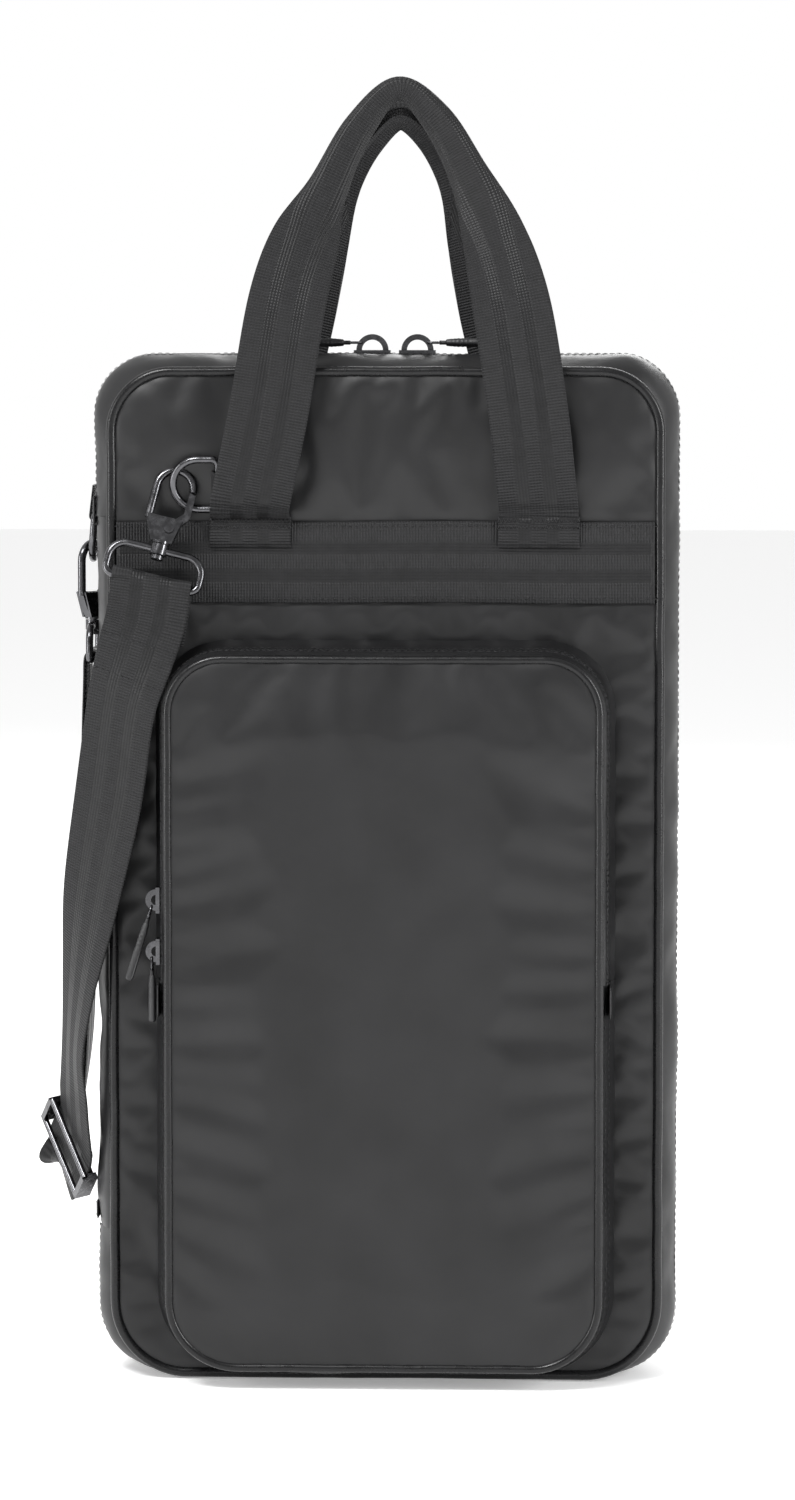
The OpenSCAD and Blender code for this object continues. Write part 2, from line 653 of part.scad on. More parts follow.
back_panel();
back_gusset();
back_piping();
back_foam();
back_lining();
stick_sleeves();
sleeve_binding();
zip_tape_back();
zip_teeth_back();
back_band();
back_handle();
front_panel();
front_gusset();
spine_panel();
front_piping();
front_foam();
front_lining();
mallet_pocket();
zip_tape_front();
zip_teeth_front();
zip_end_tabs();
front_band();
front_handle();
front_ring_tab();
spine_ring_tab();
pocket_gusset();
pocket_tape_outer();
pocket_teeth_outer();
pouch_panel();
pouch_piping();
pocket_end_tabs();
flap_panel();
flap_gusset();
flap_piping();
pocket_tape_inner();
pocket_teeth_inner();
shoulder_strap();
strap_glide();
strap_loop_a();
strap_loop_b();
hook_body_a();
hook_rivet_a();
hook_gate_a();
hook_body_b();
hook_rivet_b();
hook_gate_b();
front_d_ring();
spine_d_ring();
main_slider_left();
main_slider_right();
main_pull_left();
main_pull_right();
pocket_slider_upper();
pocket_slider_lower();
pocket_pull_upper();
pocket_pull_lower();
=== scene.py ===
"""A drum stick bag in black coated vinyl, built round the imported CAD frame."""
import math

import bmesh
import bpy
import numpy as np
from mathutils import Matrix, Vector, noise


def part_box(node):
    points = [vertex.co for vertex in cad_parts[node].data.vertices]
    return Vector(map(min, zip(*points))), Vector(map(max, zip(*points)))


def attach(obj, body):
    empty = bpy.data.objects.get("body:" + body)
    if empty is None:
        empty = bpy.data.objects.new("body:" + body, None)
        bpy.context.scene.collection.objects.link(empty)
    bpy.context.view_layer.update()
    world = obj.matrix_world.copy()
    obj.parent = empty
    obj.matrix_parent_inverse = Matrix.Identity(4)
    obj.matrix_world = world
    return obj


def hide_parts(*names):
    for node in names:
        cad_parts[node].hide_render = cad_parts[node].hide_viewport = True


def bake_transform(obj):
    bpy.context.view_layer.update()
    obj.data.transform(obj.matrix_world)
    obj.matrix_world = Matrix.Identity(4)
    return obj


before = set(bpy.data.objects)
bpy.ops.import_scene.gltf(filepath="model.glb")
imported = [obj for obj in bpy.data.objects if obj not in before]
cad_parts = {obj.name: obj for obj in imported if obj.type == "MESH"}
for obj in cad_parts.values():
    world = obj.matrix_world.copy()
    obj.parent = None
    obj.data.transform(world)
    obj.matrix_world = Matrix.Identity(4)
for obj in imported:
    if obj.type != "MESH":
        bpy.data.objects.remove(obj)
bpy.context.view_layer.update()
MM = 0.001


def low(node):
    return Vector(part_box(node)[0])


def high(node):
    return Vector(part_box(node)[1])


# ---------------------------------------------------------------- sizes from the frame

PIPE_R = (high("front_piping").y - low("front_piping").y) / 2
FRONT_Y = (high("front_piping").y + low("front_piping").y) / 2
BACK_Y = (high("back_piping").y + low("back_piping").y) / 2
FACE_HW = high("front_piping").x - PIPE_R
FACE_TOP = high("front_piping").z - PIPE_R
FACE_BOTTOM = low("front_piping").z + PIPE_R
HALF_W = high("front_gusset").x
BODY_TOP = high("front_gusset").z
ZIP_Y = (high("zip_teeth_front").y + low("zip_teeth_back").y) / 2
ZIP_HALF = ZIP_Y - high("front_gusset").y
SPINE_Z0 = low("spine_panel").z
SPINE_Z1 = high("spine_panel").z
R_TOP, R_BOTTOM = 28 * MM, 34 * MM

BAND_Z0, BAND_Z1 = low("front_band").z, high("front_band").z
WEB_W = BAND_Z1 - BAND_Z0
WEB_T = 1.5 * MM

POCKET_PIPE_R = (high("flap_piping").y - low("flap_piping").y) / 2
POCKET_Y = (high("flap_piping").y + low("flap_piping").y) / 2
POCKET_HW = high("flap_piping").x - POCKET_PIPE_R
POCKET_TOP = high("flap_piping").z - POCKET_PIPE_R
POCKET_BOTTOM = low("pouch_piping").z + POCKET_PIPE_R
POCKET_BASE_HW = high("pocket_gusset").x
CHAIN_Y = (high("pocket_teeth_outer").y + low("pocket_teeth_inner").y) / 2
FLAP_Z = high("pouch_panel").z
POCKET_R_TOP, POCKET_R_BOTTOM = 26 * MM, 32 * MM


# ---------------------------------------------------------------- materials

def new_material(name, color, rough, metallic=0.0, specular=0.5, coat=0.0, sheen=0.0):
    mat = bpy.data.materials.new(name)
    mat.use_nodes = True
    bsdf = mat.node_tree.nodes["Principled BSDF"]
    bsdf.inputs["Base Color"].default_value = (*color, 1)
    bsdf.inputs["Roughness"].default_value = rough
    bsdf.inputs["Metallic"].default_value = metallic
    bsdf.inputs["Specular IOR Level"].default_value = specular
    bsdf.inputs["Coat Weight"].default_value = coat
    bsdf.inputs["Sheen Weight"].default_value = sheen
    return mat, mat.node_tree, bsdf


def add_node(tree, kind, **values):
    node = tree.nodes.new(kind)
    for key, value in values.items():
        if key in node.inputs:
            node.inputs[key].default_value = value
        else:
            setattr(node, key, value)
    return node


def noise_texture(tree, scale, detail=2.0, stretch=None):
    """Noise in object space; scale is in cycles per metre."""
    coords = add_node(tree, "ShaderNodeTexCoord")
    texture = add_node(tree, "ShaderNodeTexNoise", Scale=scale, Detail=detail)
    source = coords.outputs["Object"]
    if stretch:
        mapping = add_node(tree, "ShaderNodeMapping", Scale=stretch)
        tree.links.new(source, mapping.inputs["Vector"])
        source = mapping.outputs["Vector"]
    tree.links.new(source, texture.inputs["Vector"])
    return texture.outputs["Fac"]


def ramp(tree, source, stops):
    node = add_node(tree, "ShaderNodeValToRGB")
    elements = node.color_ramp.elements
    while len(elements) < len(stops):
        elements.new(0.5)
    for element, (position, value) in zip(elements, stops):
        element.position = position
        color = value if isinstance(value, tuple) else (value, value, value)
        element.color = (*color, 1)
    tree.links.new(source, node.inputs["Fac"])
    return node.outputs["Color"]


def shade(color, amount):
    return tuple(c * amount for c in color)


def add_bump(tree, bsdf, height, strength, distance, below=None):
    bump = add_node(tree, "ShaderNodeBump", Strength=strength, Distance=distance)
    tree.links.new(height, bump.inputs["Height"])
    if below is not None:
        tree.links.new(below, bump.inputs["Normal"])
    tree.links.new(bump.outputs["Normal"], bsdf.inputs["Normal"])
    return bump.outputs["Normal"]


def maths(tree, operation, a, b=None):
    node = add_node(tree, "ShaderNodeMath", operation=operation)
    for socket, value in zip(node.inputs, (a, b)):
        if isinstance(value, (int, float)):
            socket.default_value = value
        elif value is not None:
            tree.links.new(value, socket)
    return node.outputs["Value"]


def vinyl_material(name, color, rough_low, rough_high):
    """Polyurethane-coated cloth: satin, with a fine grain and faint handling marks."""
    mat, tree, bsdf = new_material(name, color, rough_low, specular=0.36)
    dark = shade(color, 0.75)
    light = shade(color, 1.35)
    tone = ramp(tree, noise_texture(tree, 22, 3), [(0.3, dark), (0.7, light)])
    tree.links.new(tone, bsdf.inputs["Base Color"])
    rough = ramp(tree, noise_texture(tree, 60, 5), [(0.25, rough_low), (0.75, rough_high)])
    tree.links.new(rough, bsdf.inputs["Roughness"])
    soft = add_bump(tree, bsdf, noise_texture(tree, 90, 2), 0.25, 0.0006)
    add_bump(tree, bsdf, noise_texture(tree, 1900, 2), 0.12, 0.00025, soft)
    return mat


def webbing_material(name, color, rib=1.35 * MM):
    """Woven webbing: cross ribs, with two smoother bands along it. UV is metres along and 0 to 1 across."""
    mat, tree, bsdf = new_material(name, color, 0.6, specular=0.25, sheen=0.02)
    uv = add_node(tree, "ShaderNodeUVMap")
    uv.uv_map = "UVMap"
    split = add_node(tree, "ShaderNodeSeparateXYZ")
    tree.links.new(uv.outputs["UV"], split.inputs["Vector"])
    across, along = split.outputs["X"], split.outputs["Y"]
    ribs = maths(tree, "SINE", maths(tree, "MULTIPLY", along, 2 * math.pi / rib))
    ribs = maths(tree, "MULTIPLY", maths(tree, "ADD", ribs, 1.0), 0.5)
    yarns = maths(tree, "SINE", maths(tree, "MULTIPLY", across, 2 * math.pi * 26))
    yarns = maths(tree, "MULTIPLY", maths(tree, "ADD", yarns, 1.0), 0.16)
    zones = ramp(tree, across, [
        (0.0, 1.0), (0.235, 1.0), (0.26, 0.25), (0.40, 0.25), (0.43, 1.0), (0.57, 1.0),
        (0.60, 0.25), (0.74, 0.25), (0.765, 1.0), (1.0, 1.0)])
    height = maths(tree, "ADD", maths(tree, "MULTIPLY", ribs, zones), yarns)
    wear = noise_texture(tree, 220, 4)
    # The colour follows the rib height: painted shade in the rib troughs and a painted highlight on the rib
    # crests, mixed with a random wear tone.
    level = maths(tree, "ADD", maths(tree, "MULTIPLY", height, 0.55), maths(tree, "MULTIPLY", wear, 0.5))
    dark = shade(color, 0.55)
    light = shade(color, 2.1)
    tree.links.new(ramp(tree, level, [(0.15, dark), (0.95, light)]), bsdf.inputs["Base Color"])
    tree.links.new(ramp(tree, zones, [(0.2, 0.42), (1.0, 0.62)]), bsdf.inputs["Roughness"])
    add_bump(tree, bsdf, height, 0.75, 0.00045)
    return mat


def cloth_material(name, color, threads=1400):
    """Plain-woven lining cloth."""
    mat, tree, bsdf = new_material(name, color, 0.8, specular=0.25, sheen=0.2)
    coords = add_node(tree, "ShaderNodeTexCoord")
    split = add_node(tree, "ShaderNodeSeparateXYZ")
    tree.links.new(coords.outputs["Object"], split.inputs["Vector"])
    warp = maths(tree, "SINE", maths(tree, "MULTIPLY", split.outputs["X"], threads * 2))
    weft = maths(tree, "SINE", maths(tree, "MULTIPLY", split.outputs["Z"], threads * 2))
    height = maths(tree, "MULTIPLY", warp, weft)
    # The tone follows the weave height a little: painted shade where the threads dip and a painted highlight
    # where they rise, plus a random cloudy tone.
    tone = maths(tree, "ADD", maths(tree, "MULTIPLY", height, 0.15), noise_texture(tree, 160, 4))
    dark = shade(color, 0.75)
    light = shade(color, 1.25)
    tree.links.new(ramp(tree, tone, [(0.25, dark), (0.75, light)]), bsdf.inputs["Base Color"])
    add_bump(tree, bsdf, height, 0.3, 0.0003)
    return mat


def metal_material(name, color, rough):
    """Black nickel plating with faint wear."""
    mat, tree, bsdf = new_material(name, color, rough, metallic=1.0)
    rough_map = ramp(tree, noise_texture(tree, 400, 5), [(0.3, rough * 0.7), (0.75, rough * 1.7)])
    tree.links.new(rough_map, bsdf.inputs["Roughness"])
    tone = ramp(tree, noise_texture(tree, 120, 3), [(0.3, shade(color, 0.8)), (0.8, shade(color, 1.3))])
    tree.links.new(tone, bsdf.inputs["Base Color"])
    add_bump(tree, bsdf, noise_texture(tree, 900, 2), 0.04, 0.0001)
    return mat


def moulded_material(name, color, rough, grain=1200, specular=0.5):
    """Moulded plastic or rubber."""
    mat, tree, bsdf = new_material(name, color, rough, specular=specular)
    rough_map = ramp(tree, noise_texture(tree, 260, 4), [(0.3, rough * 0.8), (0.7, rough * 1.25)])
    tree.links.new(rough_map, bsdf.inputs["Roughness"])
    tone = ramp(tree, noise_texture(tree, 80, 3), [(0.3, shade(color, 0.8)), (0.7, shade(color, 1.25))])
    tree.links.new(tone, bsdf.inputs["Base Color"])
    add_bump(tree, bsdf, noise_texture(tree, grain, 2), 0.12, 0.0002)
    return mat


VINYL = vinyl_material("vinyl", (0.010, 0.010, 0.0105), 0.36, 0.46)
VINYL_TRIM = vinyl_material("vinyl_trim", (0.009, 0.009, 0.0095), 0.34, 0.44)
PIPING = moulded_material("piping", (0.007, 0.007, 0.0075), 0.28, 900, 0.32)
WEBBING = webbing_material("webbing", (0.008, 0.008, 0.0085))
TAPE = webbing_material("zip_tape", (0.009, 0.009, 0.010), 0.9 * MM)
LINING = cloth_material("lining", (0.035, 0.035, 0.038))
METAL = metal_material("black_nickel", (0.10, 0.10, 0.105), 0.2)
TEETH = moulded_material("zip_teeth", (0.012, 0.012, 0.013), 0.32, 1500)
RUBBER = moulded_material("pull_rubber", (0.013, 0.013, 0.014), 0.42, 1500)
THREAD = moulded_material("thread", (0.010, 0.010, 0.011), 0.55, 2500)
FOAM = moulded_material("foam", (0.05, 0.05, 0.052), 0.85, 700, 0.2)


# ---------------------------------------------------------------- mesh helpers

def make_mesh(name, verts, faces, material, uvs=None, smooth=True):
    """A mesh object; uvs holds one pair for each vertex."""
    mesh = bpy.data.meshes.new(name)
    points = [tuple(v) for v in np.asarray(verts, dtype=float)]
    mesh.from_pydata(points, [], [tuple(int(i) for i in f) for f in faces])
    mesh.update()
    mesh.materials.append(material)
    if smooth:
        mesh.polygons.foreach_set("use_smooth", [True] * len(mesh.polygons))
    if uvs is not None:
        layer = mesh.uv_layers.new(name="UVMap")
        index = np.empty(len(mesh.loops), dtype=np.int64)
        mesh.loops.foreach_get("vertex_index", index)
        layer.data.foreach_set("uv", np.asarray(uvs, dtype=float)[index].ravel())
    obj = bpy.data.objects.new(name, mesh)
    bpy.context.scene.collection.objects.link(obj)
    return obj


def finish_piece(obj, body, nodes=()):
    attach(obj, body)
    if nodes:
        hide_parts(*nodes)
    return obj


def subdivide(obj, levels=1):
    modifier = obj.modifiers.new("Subdivision", "SUBSURF")
    modifier.levels = levels
    modifier.render_levels = levels
    return obj


def loft_faces(rows, count, closed):
    faces = []
    last = count if closed else count - 1
    for r in range(rows - 1):
        for i in range(last):
            j = (i + 1) % count
            faces.append((r * count + i, r * count + j, (r + 1) * count + j, (r + 1) * count + i))
    return faces


def loft(name, rows, material, closed=False, flip=False):
    """A sheet through rows of points, each row of the same length."""
    count = len(rows[0])
    faces = loft_faces(len(rows), count, closed)
    if flip:
        faces = [f[::-1] for f in faces]
    return make_mesh(name, np.concatenate(rows), faces, material)


def wobble(points, scale, seed, octaves=2):
    """Smooth noise from -1 to 1 at each point; scale is in cycles per metre."""
    shift = Vector((seed * 3.7, seed * 1.3, seed * 7.1))
    return np.array([noise.fractal(Vector(p) * scale + shift, 1.0, 2.0, octaves) for p in points])


class Rim:
    """A rounded rectangle in XZ, walked clockwise from its uppermost break on the left side."""

    def __init__(self, hw, z0, z1, rt, rb, left, right=(), step=3 * MM):
        self.size = (hw, z0, z1, rt, rb)
        self.left = sorted(left)
        self.right = sorted(right, reverse=True)
        self.step = step

    def walk(self, side=0.0, top=0.0, bottom=0.0, shrink=True):
        """Points and outward normals with the edges moved in; the corners shrink with them or not."""
        hw0, z00, z10, rt0, rb0 = self.size
        hw, z0, z1 = hw0 - side, z00 + bottom, z10 - top
        rt = max(rt0 - min(side, top), 1 * MM) if shrink else rt0
        rb = max(rb0 - min(side, bottom), 1 * MM) if shrink else rb0
        points, normals, self.marks = [], [], []

        def line(a, b, normal, nominal):
            count = max(2, round(nominal / self.step))
            for k in range(count):
                t = k / count
                points.append((a[0] + (b[0] - a[0]) * t, a[1] + (b[1] - a[1]) * t))
                normals.append(normal)

        def arc(cx, cz, r, start, nominal):
            count = max(6, round(nominal * math.pi / 2 / self.step))
            for k in range(count):
                angle = math.radians(start - 90 * k / count)
                normals.append((math.cos(angle), math.sin(angle)))
                points.append((cx + r * math.cos(angle), cz + r * math.sin(angle)))

        self.marks.append(0)
        line((-hw, self.left[-1]), (-hw, z1 - rt), (-1, 0), z10 - rt0 - self.left[-1])
        arc(-hw + rt, z1 - rt, rt, 180, rt0)
        line((-hw + rt, z1), (hw - rt, z1), (0, 1), 2 * (hw0 - rt0))
        arc(hw - rt, z1 - rt, rt, 90, rt0)
        stops = [z1 - rt] + self.right + [z0 + rb]
        nominal = [z10 - rt0] + self.right + [z00 + rb0]
        for k in range(len(stops) - 1):
            line((hw, stops[k]), (hw, stops[k + 1]), (1, 0), nominal[k] - nominal[k + 1])
            self.marks.append(len(points))
        arc(hw - rb, z0 + rb, rb, 0, rb0)
        line((hw - rb, z0), (-hw + rb, z0), (0, -1), 2 * (hw0 - rb0))
        arc(-hw + rb, z0 + rb, rb, -90, rb0)
        stops = [z0 + rb] + self.left
        nominal = [z00 + rb0] + self.left
        for k in range(len(stops) - 1):
            line((-hw, stops[k]), (-hw, stops[k + 1]), (-1, 0), nominal[k + 1] - nominal[k])
            self.marks.append(len(points))
        return np.array(points), np.array(normals)

    def distance(self, x, z, inset=0.0):
        """Signed distance inside the outline (positive inside), for arrays of points."""
        hw, z0, z1, rt, rb = self.size
        hw, z0, z1 = hw - inset, z0 + inset, z1 - inset
        mid = (z0 + z1) / 2
        r = np.where(z > mid, max(rt - inset, 0.5 * MM), max(rb - inset, 0.5 * MM))
        dx = np.abs(x) - (hw - r)
        dz = np.abs(z - mid) - ((z1 - z0) / 2 - r)
        outside = np.hypot(np.maximum(dx, 0), np.maximum(dz, 0))
        return -(outside + np.minimum(np.maximum(dx, dz), 0) - r)


BODY = Rim(HALF_W, 0.4 * MM, BODY_TOP, R_TOP, R_BOTTOM, (SPINE_Z0, SPINE_Z1))
POCKET = Rim(POCKET_BASE_HW, POCKET_BOTTOM - 4 * MM, POCKET_TOP + 4 * MM,
             POCKET_R_TOP + 4 * MM, POCKET_R_BOTTOM + 4 * MM, (FLAP_Z,), (FLAP_Z,))
FACE_SIDE, FACE_DROP = HALF_W - FACE_HW, BODY_TOP - FACE_TOP
FACE_LIFT = FACE_BOTTOM - 0.4 * MM


def to_3d(points, y):
    return np.column_stack([points[:, 0], np.full(len(points), y), points[:, 1]])


def out_3d(normals):
    return np.column_stack([normals[:, 0], np.zeros(len(normals)), normals[:, 1]])


def panel_grid(rim, inset, step):
    """A grid inside the outline, its edge moved onto the outline: x, z and faces."""
    hw, z0, z1, _, _ = rim.size
    xs = np.linspace(-hw + inset, hw - inset, round(2 * (hw - inset) / step) + 1)
    zs = np.linspace(z0 + inset, z1 - inset, round((z1 - z0 - 2 * inset) / step) + 1)
    x, z = np.meshgrid(xs, zs)
    x, z = x.ravel(), z.ravel()
    depth = rim.distance(x, z, inset)
    outside = depth < 0
    for _ in range(3):
        small = 0.01 * MM
        d = rim.distance(x, z, inset)
        gx = (rim.distance(x + small, z, inset) - d) / small
        gz = (rim.distance(x, z + small, inset) - d) / small
        move = np.where(d < 0, -d, 0)
        x, z = x + gx * move, z + gz * move
    columns = len(xs)
    faces = []
    for j in range(len(zs) - 1):
        for i in range(columns - 1):
            quad = (j * columns + i, j * columns + i + 1, (j + 1) * columns + i + 1, (j + 1) * columns + i)
            if not all(outside[list(quad)]):
                faces.append(quad)
    used = sorted({i for f in faces for i in f})
    index = {old: new for new, old in enumerate(used)}
    faces = [tuple(index[i] for i in f) for f in faces]
    return x[used], z[used], faces


def billow(obj, pins, grow, pressure, cap, frames=22, stiffness=6.0, bending=0.6):
    """Cloth simulation: sewn points stay put and the rest swells; the result is kept in the mesh."""
    scene = bpy.context.scene
    mesh = obj.data
    rest = np.array([v.co for v in mesh.vertices])
    group = obj.vertex_groups.new(name="sewn")
    for i in np.nonzero(pins > 0)[0]:
        group.add([int(i)], float(pins[i]), "REPLACE")
    cloth = obj.modifiers.new("Cloth", "CLOTH")
    settings = cloth.settings
    settings.quality = 6
    settings.mass = 0.25
    settings.tension_stiffness = stiffness
    settings.compression_stiffness = stiffness
    settings.shear_stiffness = stiffness * 0.5
    settings.bending_stiffness = bending
    settings.vertex_group_mass = "sewn"
    settings.pin_stiffness = 1.0
    settings.shrink_min = -grow
    settings.use_pressure = True
    settings.uniform_pressure_force = pressure
    settings.effector_weights.gravity = 0
    settings.air_damping = 2.0
    cloth.collision_settings.use_collision = False
    cloth.point_cache.frame_start = 1
    cloth.point_cache.frame_end = frames
    for f in range(1, frames + 1):
        scene.frame_set(f)
    graph = bpy.context.evaluated_depsgraph_get()
    result = obj.evaluated_get(graph)
    points = np.array([v.co for v in result.data.vertices])
    obj.modifiers.remove(cloth)
    obj.vertex_groups.remove(group)
    scene.frame_set(1)
    move = points - rest
    length = np.linalg.norm(move, axis=1)
    scale = np.where(length > cap, cap / np.maximum(length, 1e-9), 1.0)
    mesh.vertices.foreach_set("co", (rest + move * scale[:, None]).ravel())
    mesh.update()
    return obj


def catmull(list_, n):
    """Points on a smooth curve through the rows of list_, n for each stretch."""
    rows = np.asarray(list_, dtype=float)
    padded = np.vstack([rows[:1], rows, rows[-1:]])
    out = []
    for i in range(len(rows) - 1):
        a, b, c, d = padded[i:i + 4]
        for k in range(n):
            t = k / n
            out.append(0.5 * (2 * b + (c - a) * t + (2 * a - 5 * b + 4 * c - d) * t * t
                              + (3 * b - a - 3 * c + d) * t ** 3))
    out.append(rows[-1])
    return np.array(out)


def unit_rows(v):
    return v / np.maximum(np.linalg.norm(v, axis=1, keepdims=True), 1e-12)


def ribbon(name, centres, across, half_width, half_thick, material, crown=0.0, power=0.35, sides=20):
    """A webbing strip along centres, with rounded edges; UV runs 0 to 1 across and in metres along."""
    tangent = unit_rows(np.gradient(centres, axis=0))
    side = unit_rows(across - np.sum(across * tangent, axis=1, keepdims=True) * tangent)
    up = np.cross(tangent, side)
    run = np.concatenate([[0], np.cumsum(np.linalg.norm(np.diff(centres, axis=0), axis=1))])
    verts, uvs = [], []
    angles = [2 * math.pi * (k + 0.5) / sides for k in range(sides)]
    flat = [(math.copysign(abs(math.cos(a)) ** 0.55, math.cos(a)),
             math.copysign(abs(math.sin(a)) ** power, math.sin(a))) for a in angles]
    for i in range(len(centres)):
        for u, v in flat:
            lift = crown * (1 - u * u)
            verts.append(centres[i] + side[i] * u * half_width[i] + up[i] * (v * half_thick[i] + lift))
            uvs.append((0.5 + 0.5 * u, run[i]))
    faces = loft_faces(len(centres), sides, True)
    faces.append(tuple(range(sides))[::-1])
    faces.append(tuple((len(centres) - 1) * sides + k for k in range(sides)))
    obj = make_mesh(name, verts, faces, material, uvs)
    return obj, side, up, run


def tube(name, points, radius, material, sides=12, closed=False):
    """A round bar through points, capped flat at its ends when it is open."""
    points = np.asarray(points, dtype=float)
    count = len(points)
    if closed:
        tangent = unit_rows(np.roll(points, -1, axis=0) - np.roll(points, 1, axis=0))
    else:
        tangent = unit_rows(np.gradient(points, axis=0))
    first = Vector(tangent[0])
    normal = first.orthogonal().normalized()
    rings = []
    radii = np.full(count, radius) if np.isscalar(radius) else np.asarray(radius)
    previous = first
    for i in range(count):
        turn = previous.rotation_difference(Vector(tangent[i]))
        normal = (turn @ normal).normalized()
        previous = Vector(tangent[i])
        rings.append(normal.copy())
    if closed:
        end = (previous.rotation_difference(first) @ normal).normalized()
        twist = math.atan2(end.cross(rings[0]).dot(first), end.dot(rings[0]))
        rings = [Matrix.Rotation(twist * i / count, 3, Vector(tangent[i])) @ n for i, n in enumerate(rings)]
    verts = []
    for i in range(count):
        n = np.array(rings[i])
        b = np.cross(tangent[i], n)
        for k in range(sides):
            a = 2 * math.pi * k / sides
            verts.append(points[i] + radii[i] * (math.cos(a) * n + math.sin(a) * b))
    faces = loft_faces(count, sides, True)
    if closed:
        base = (count - 1) * sides
        faces += [(base + k, base + (k + 1) % sides, (k + 1) % sides, k) for k in range(sides)]
    else:
        faces.append(tuple(range(sides))[::-1])
        faces.append(tuple((count - 1) * sides + k for k in range(sides)))
    return make_mesh(name, verts, faces, material)


def resample(points, pitch):
    """Distances at an even pitch along a path, with the running length at each of its points."""
    lengths = np.concatenate([[0], np.cumsum(np.linalg.norm(np.diff(points, axis=0), axis=1))])
    count = max(2, int(lengths[-1] / pitch))
    targets = np.linspace(0, lengths[-1], count)
    return targets, lengths


def along(values, lengths, targets):
    return np.column_stack([np.interp(targets, lengths, values[:, k]) for k in range(values.shape[1])])


THREAD_SHAPE = np.array([(-1, 0, 0), (-0.5, 0.5, 0.1), (-0.5, 0, 0.55), (-0.5, -0.5, 0.1),
                         (0.5, 0.5, 0.1), (0.5, 0, 0.55), (0.5, -0.5, 0.1), (1, 0, 0)])
THREAD_LIFT = 0.05 * MM
THREAD_FACES = [(0, 1, 2), (0, 2, 3), (1, 4, 5, 2), (2, 5, 6, 3), (4, 7, 5), (5, 7, 6), (0, 3, 6, 7, 4, 1)]


def stitch_row(name, path, normals, body, pitch=3.4 * MM, length=2.5 * MM, width=0.55 * MM):
    """A row of thread stitches on a surface; normals point off the surface."""
    targets, lengths = resample(path, pitch)
    centres = along(path, lengths, targets)
    up = unit_rows(along(normals, lengths, targets))
    run = unit_rows(np.gradient(centres, axis=0))
    side = np.cross(up, run)
    verts, faces = [], []
    for i in range(len(centres)):
        base = len(verts)
        for x, y, z in THREAD_SHAPE:
            verts.append(centres[i] + run[i] * x * length / 2 + side[i] * y * width
                         + up[i] * (THREAD_LIFT + z * width))
        faces += [tuple(base + k for k in f) for f in THREAD_FACES]
    obj = make_mesh(name, verts, faces, THREAD)
    return finish_piece(obj, body)


def teeth_row(name, path, out, inward, body, nodes, pitch=3.0 * MM, size=(1.5, 3.0, 1.7), offset=0.0,
              reach=0.5):
    """Moulded zip teeth along path: size is (along, across, high) in mm; inward points at the other row."""
    targets, lengths = resample(path, pitch)
    targets = targets[:-1] + offset * pitch
    centres = along(path, lengths, targets)
    up = unit_rows(along(out, lengths, targets))
    run = unit_rows(np.gradient(centres, axis=0))
    long, c, h = (s * MM for s in size)
    profile = [(-0.5, 0.0), (-0.5, 0.72), (-0.36, 1.0), (0.36, 1.0), (0.5, 0.72), (0.5, 0.0)]
    stations = [(-c, 0.75), (-c * 0.35, 0.8), (-0.2 * MM, 1.0), (reach * MM, 0.95)]
    verts, faces = [], []
    n = len(profile)
    for i in range(len(centres)):
        base = len(verts)
        for y, grow in stations:
            for u, v in profile:
                verts.append(centres[i] + run[i] * u * long * grow + up[i] * (v - 1.0) * h + inward * y)
        for s in range(len(stations) - 1):
            for k in range(n):
                j = (k + 1) % n
                a = base + s * n
                faces.append((a + k, a + j, a + n + j, a + n + k))
        faces.append(tuple(base + k for k in range(n))[::-1])
        faces.append(tuple(base + (len(stations) - 1) * n + k for k in range(n)))
    obj = make_mesh(name, verts, faces, TEETH, smooth=False)
    return finish_piece(obj, body, nodes)


# ---------------------------------------------------------------- camera and light

def camera():
    target = Vector((4.4, 0, 294)) * MM
    distance, azimuth, elevation = 2.4, math.radians(2.2), math.radians(5.0)
    data = bpy.data.cameras.new("camera")
    obj = bpy.data.objects.new("camera", data)
    bpy.context.scene.collection.objects.link(obj)
    level = math.cos(elevation)
    direction = Vector((math.sin(azimuth) * level, -math.cos(azimuth) * level, math.sin(elevation)))
    obj.location = target + direction * distance
    obj.rotation_euler = (-direction).to_track_quat("-Z", "Y").to_euler()
    data.sensor_fit = "VERTICAL"
    data.sensor_height = 36
    picture_height = 0.697
    data.lens = 36 * (distance - 0.03) / picture_height
    data.clip_end = 30
    bpy.context.scene.camera = obj


def area_light(name, location, target, size, power):
    data = bpy.data.lights.new(name, "AREA")
    data.shape = "RECTANGLE"
    data.size, data.size_y = size
    data.energy = power
    obj = bpy.data.objects.new(name, data)
    obj.location = location
    obj.rotation_euler = (Vector(target) - Vector(location)).to_track_quat("-Z", "Y").to_euler()
    bpy.context.scene.collection.objects.link(obj)


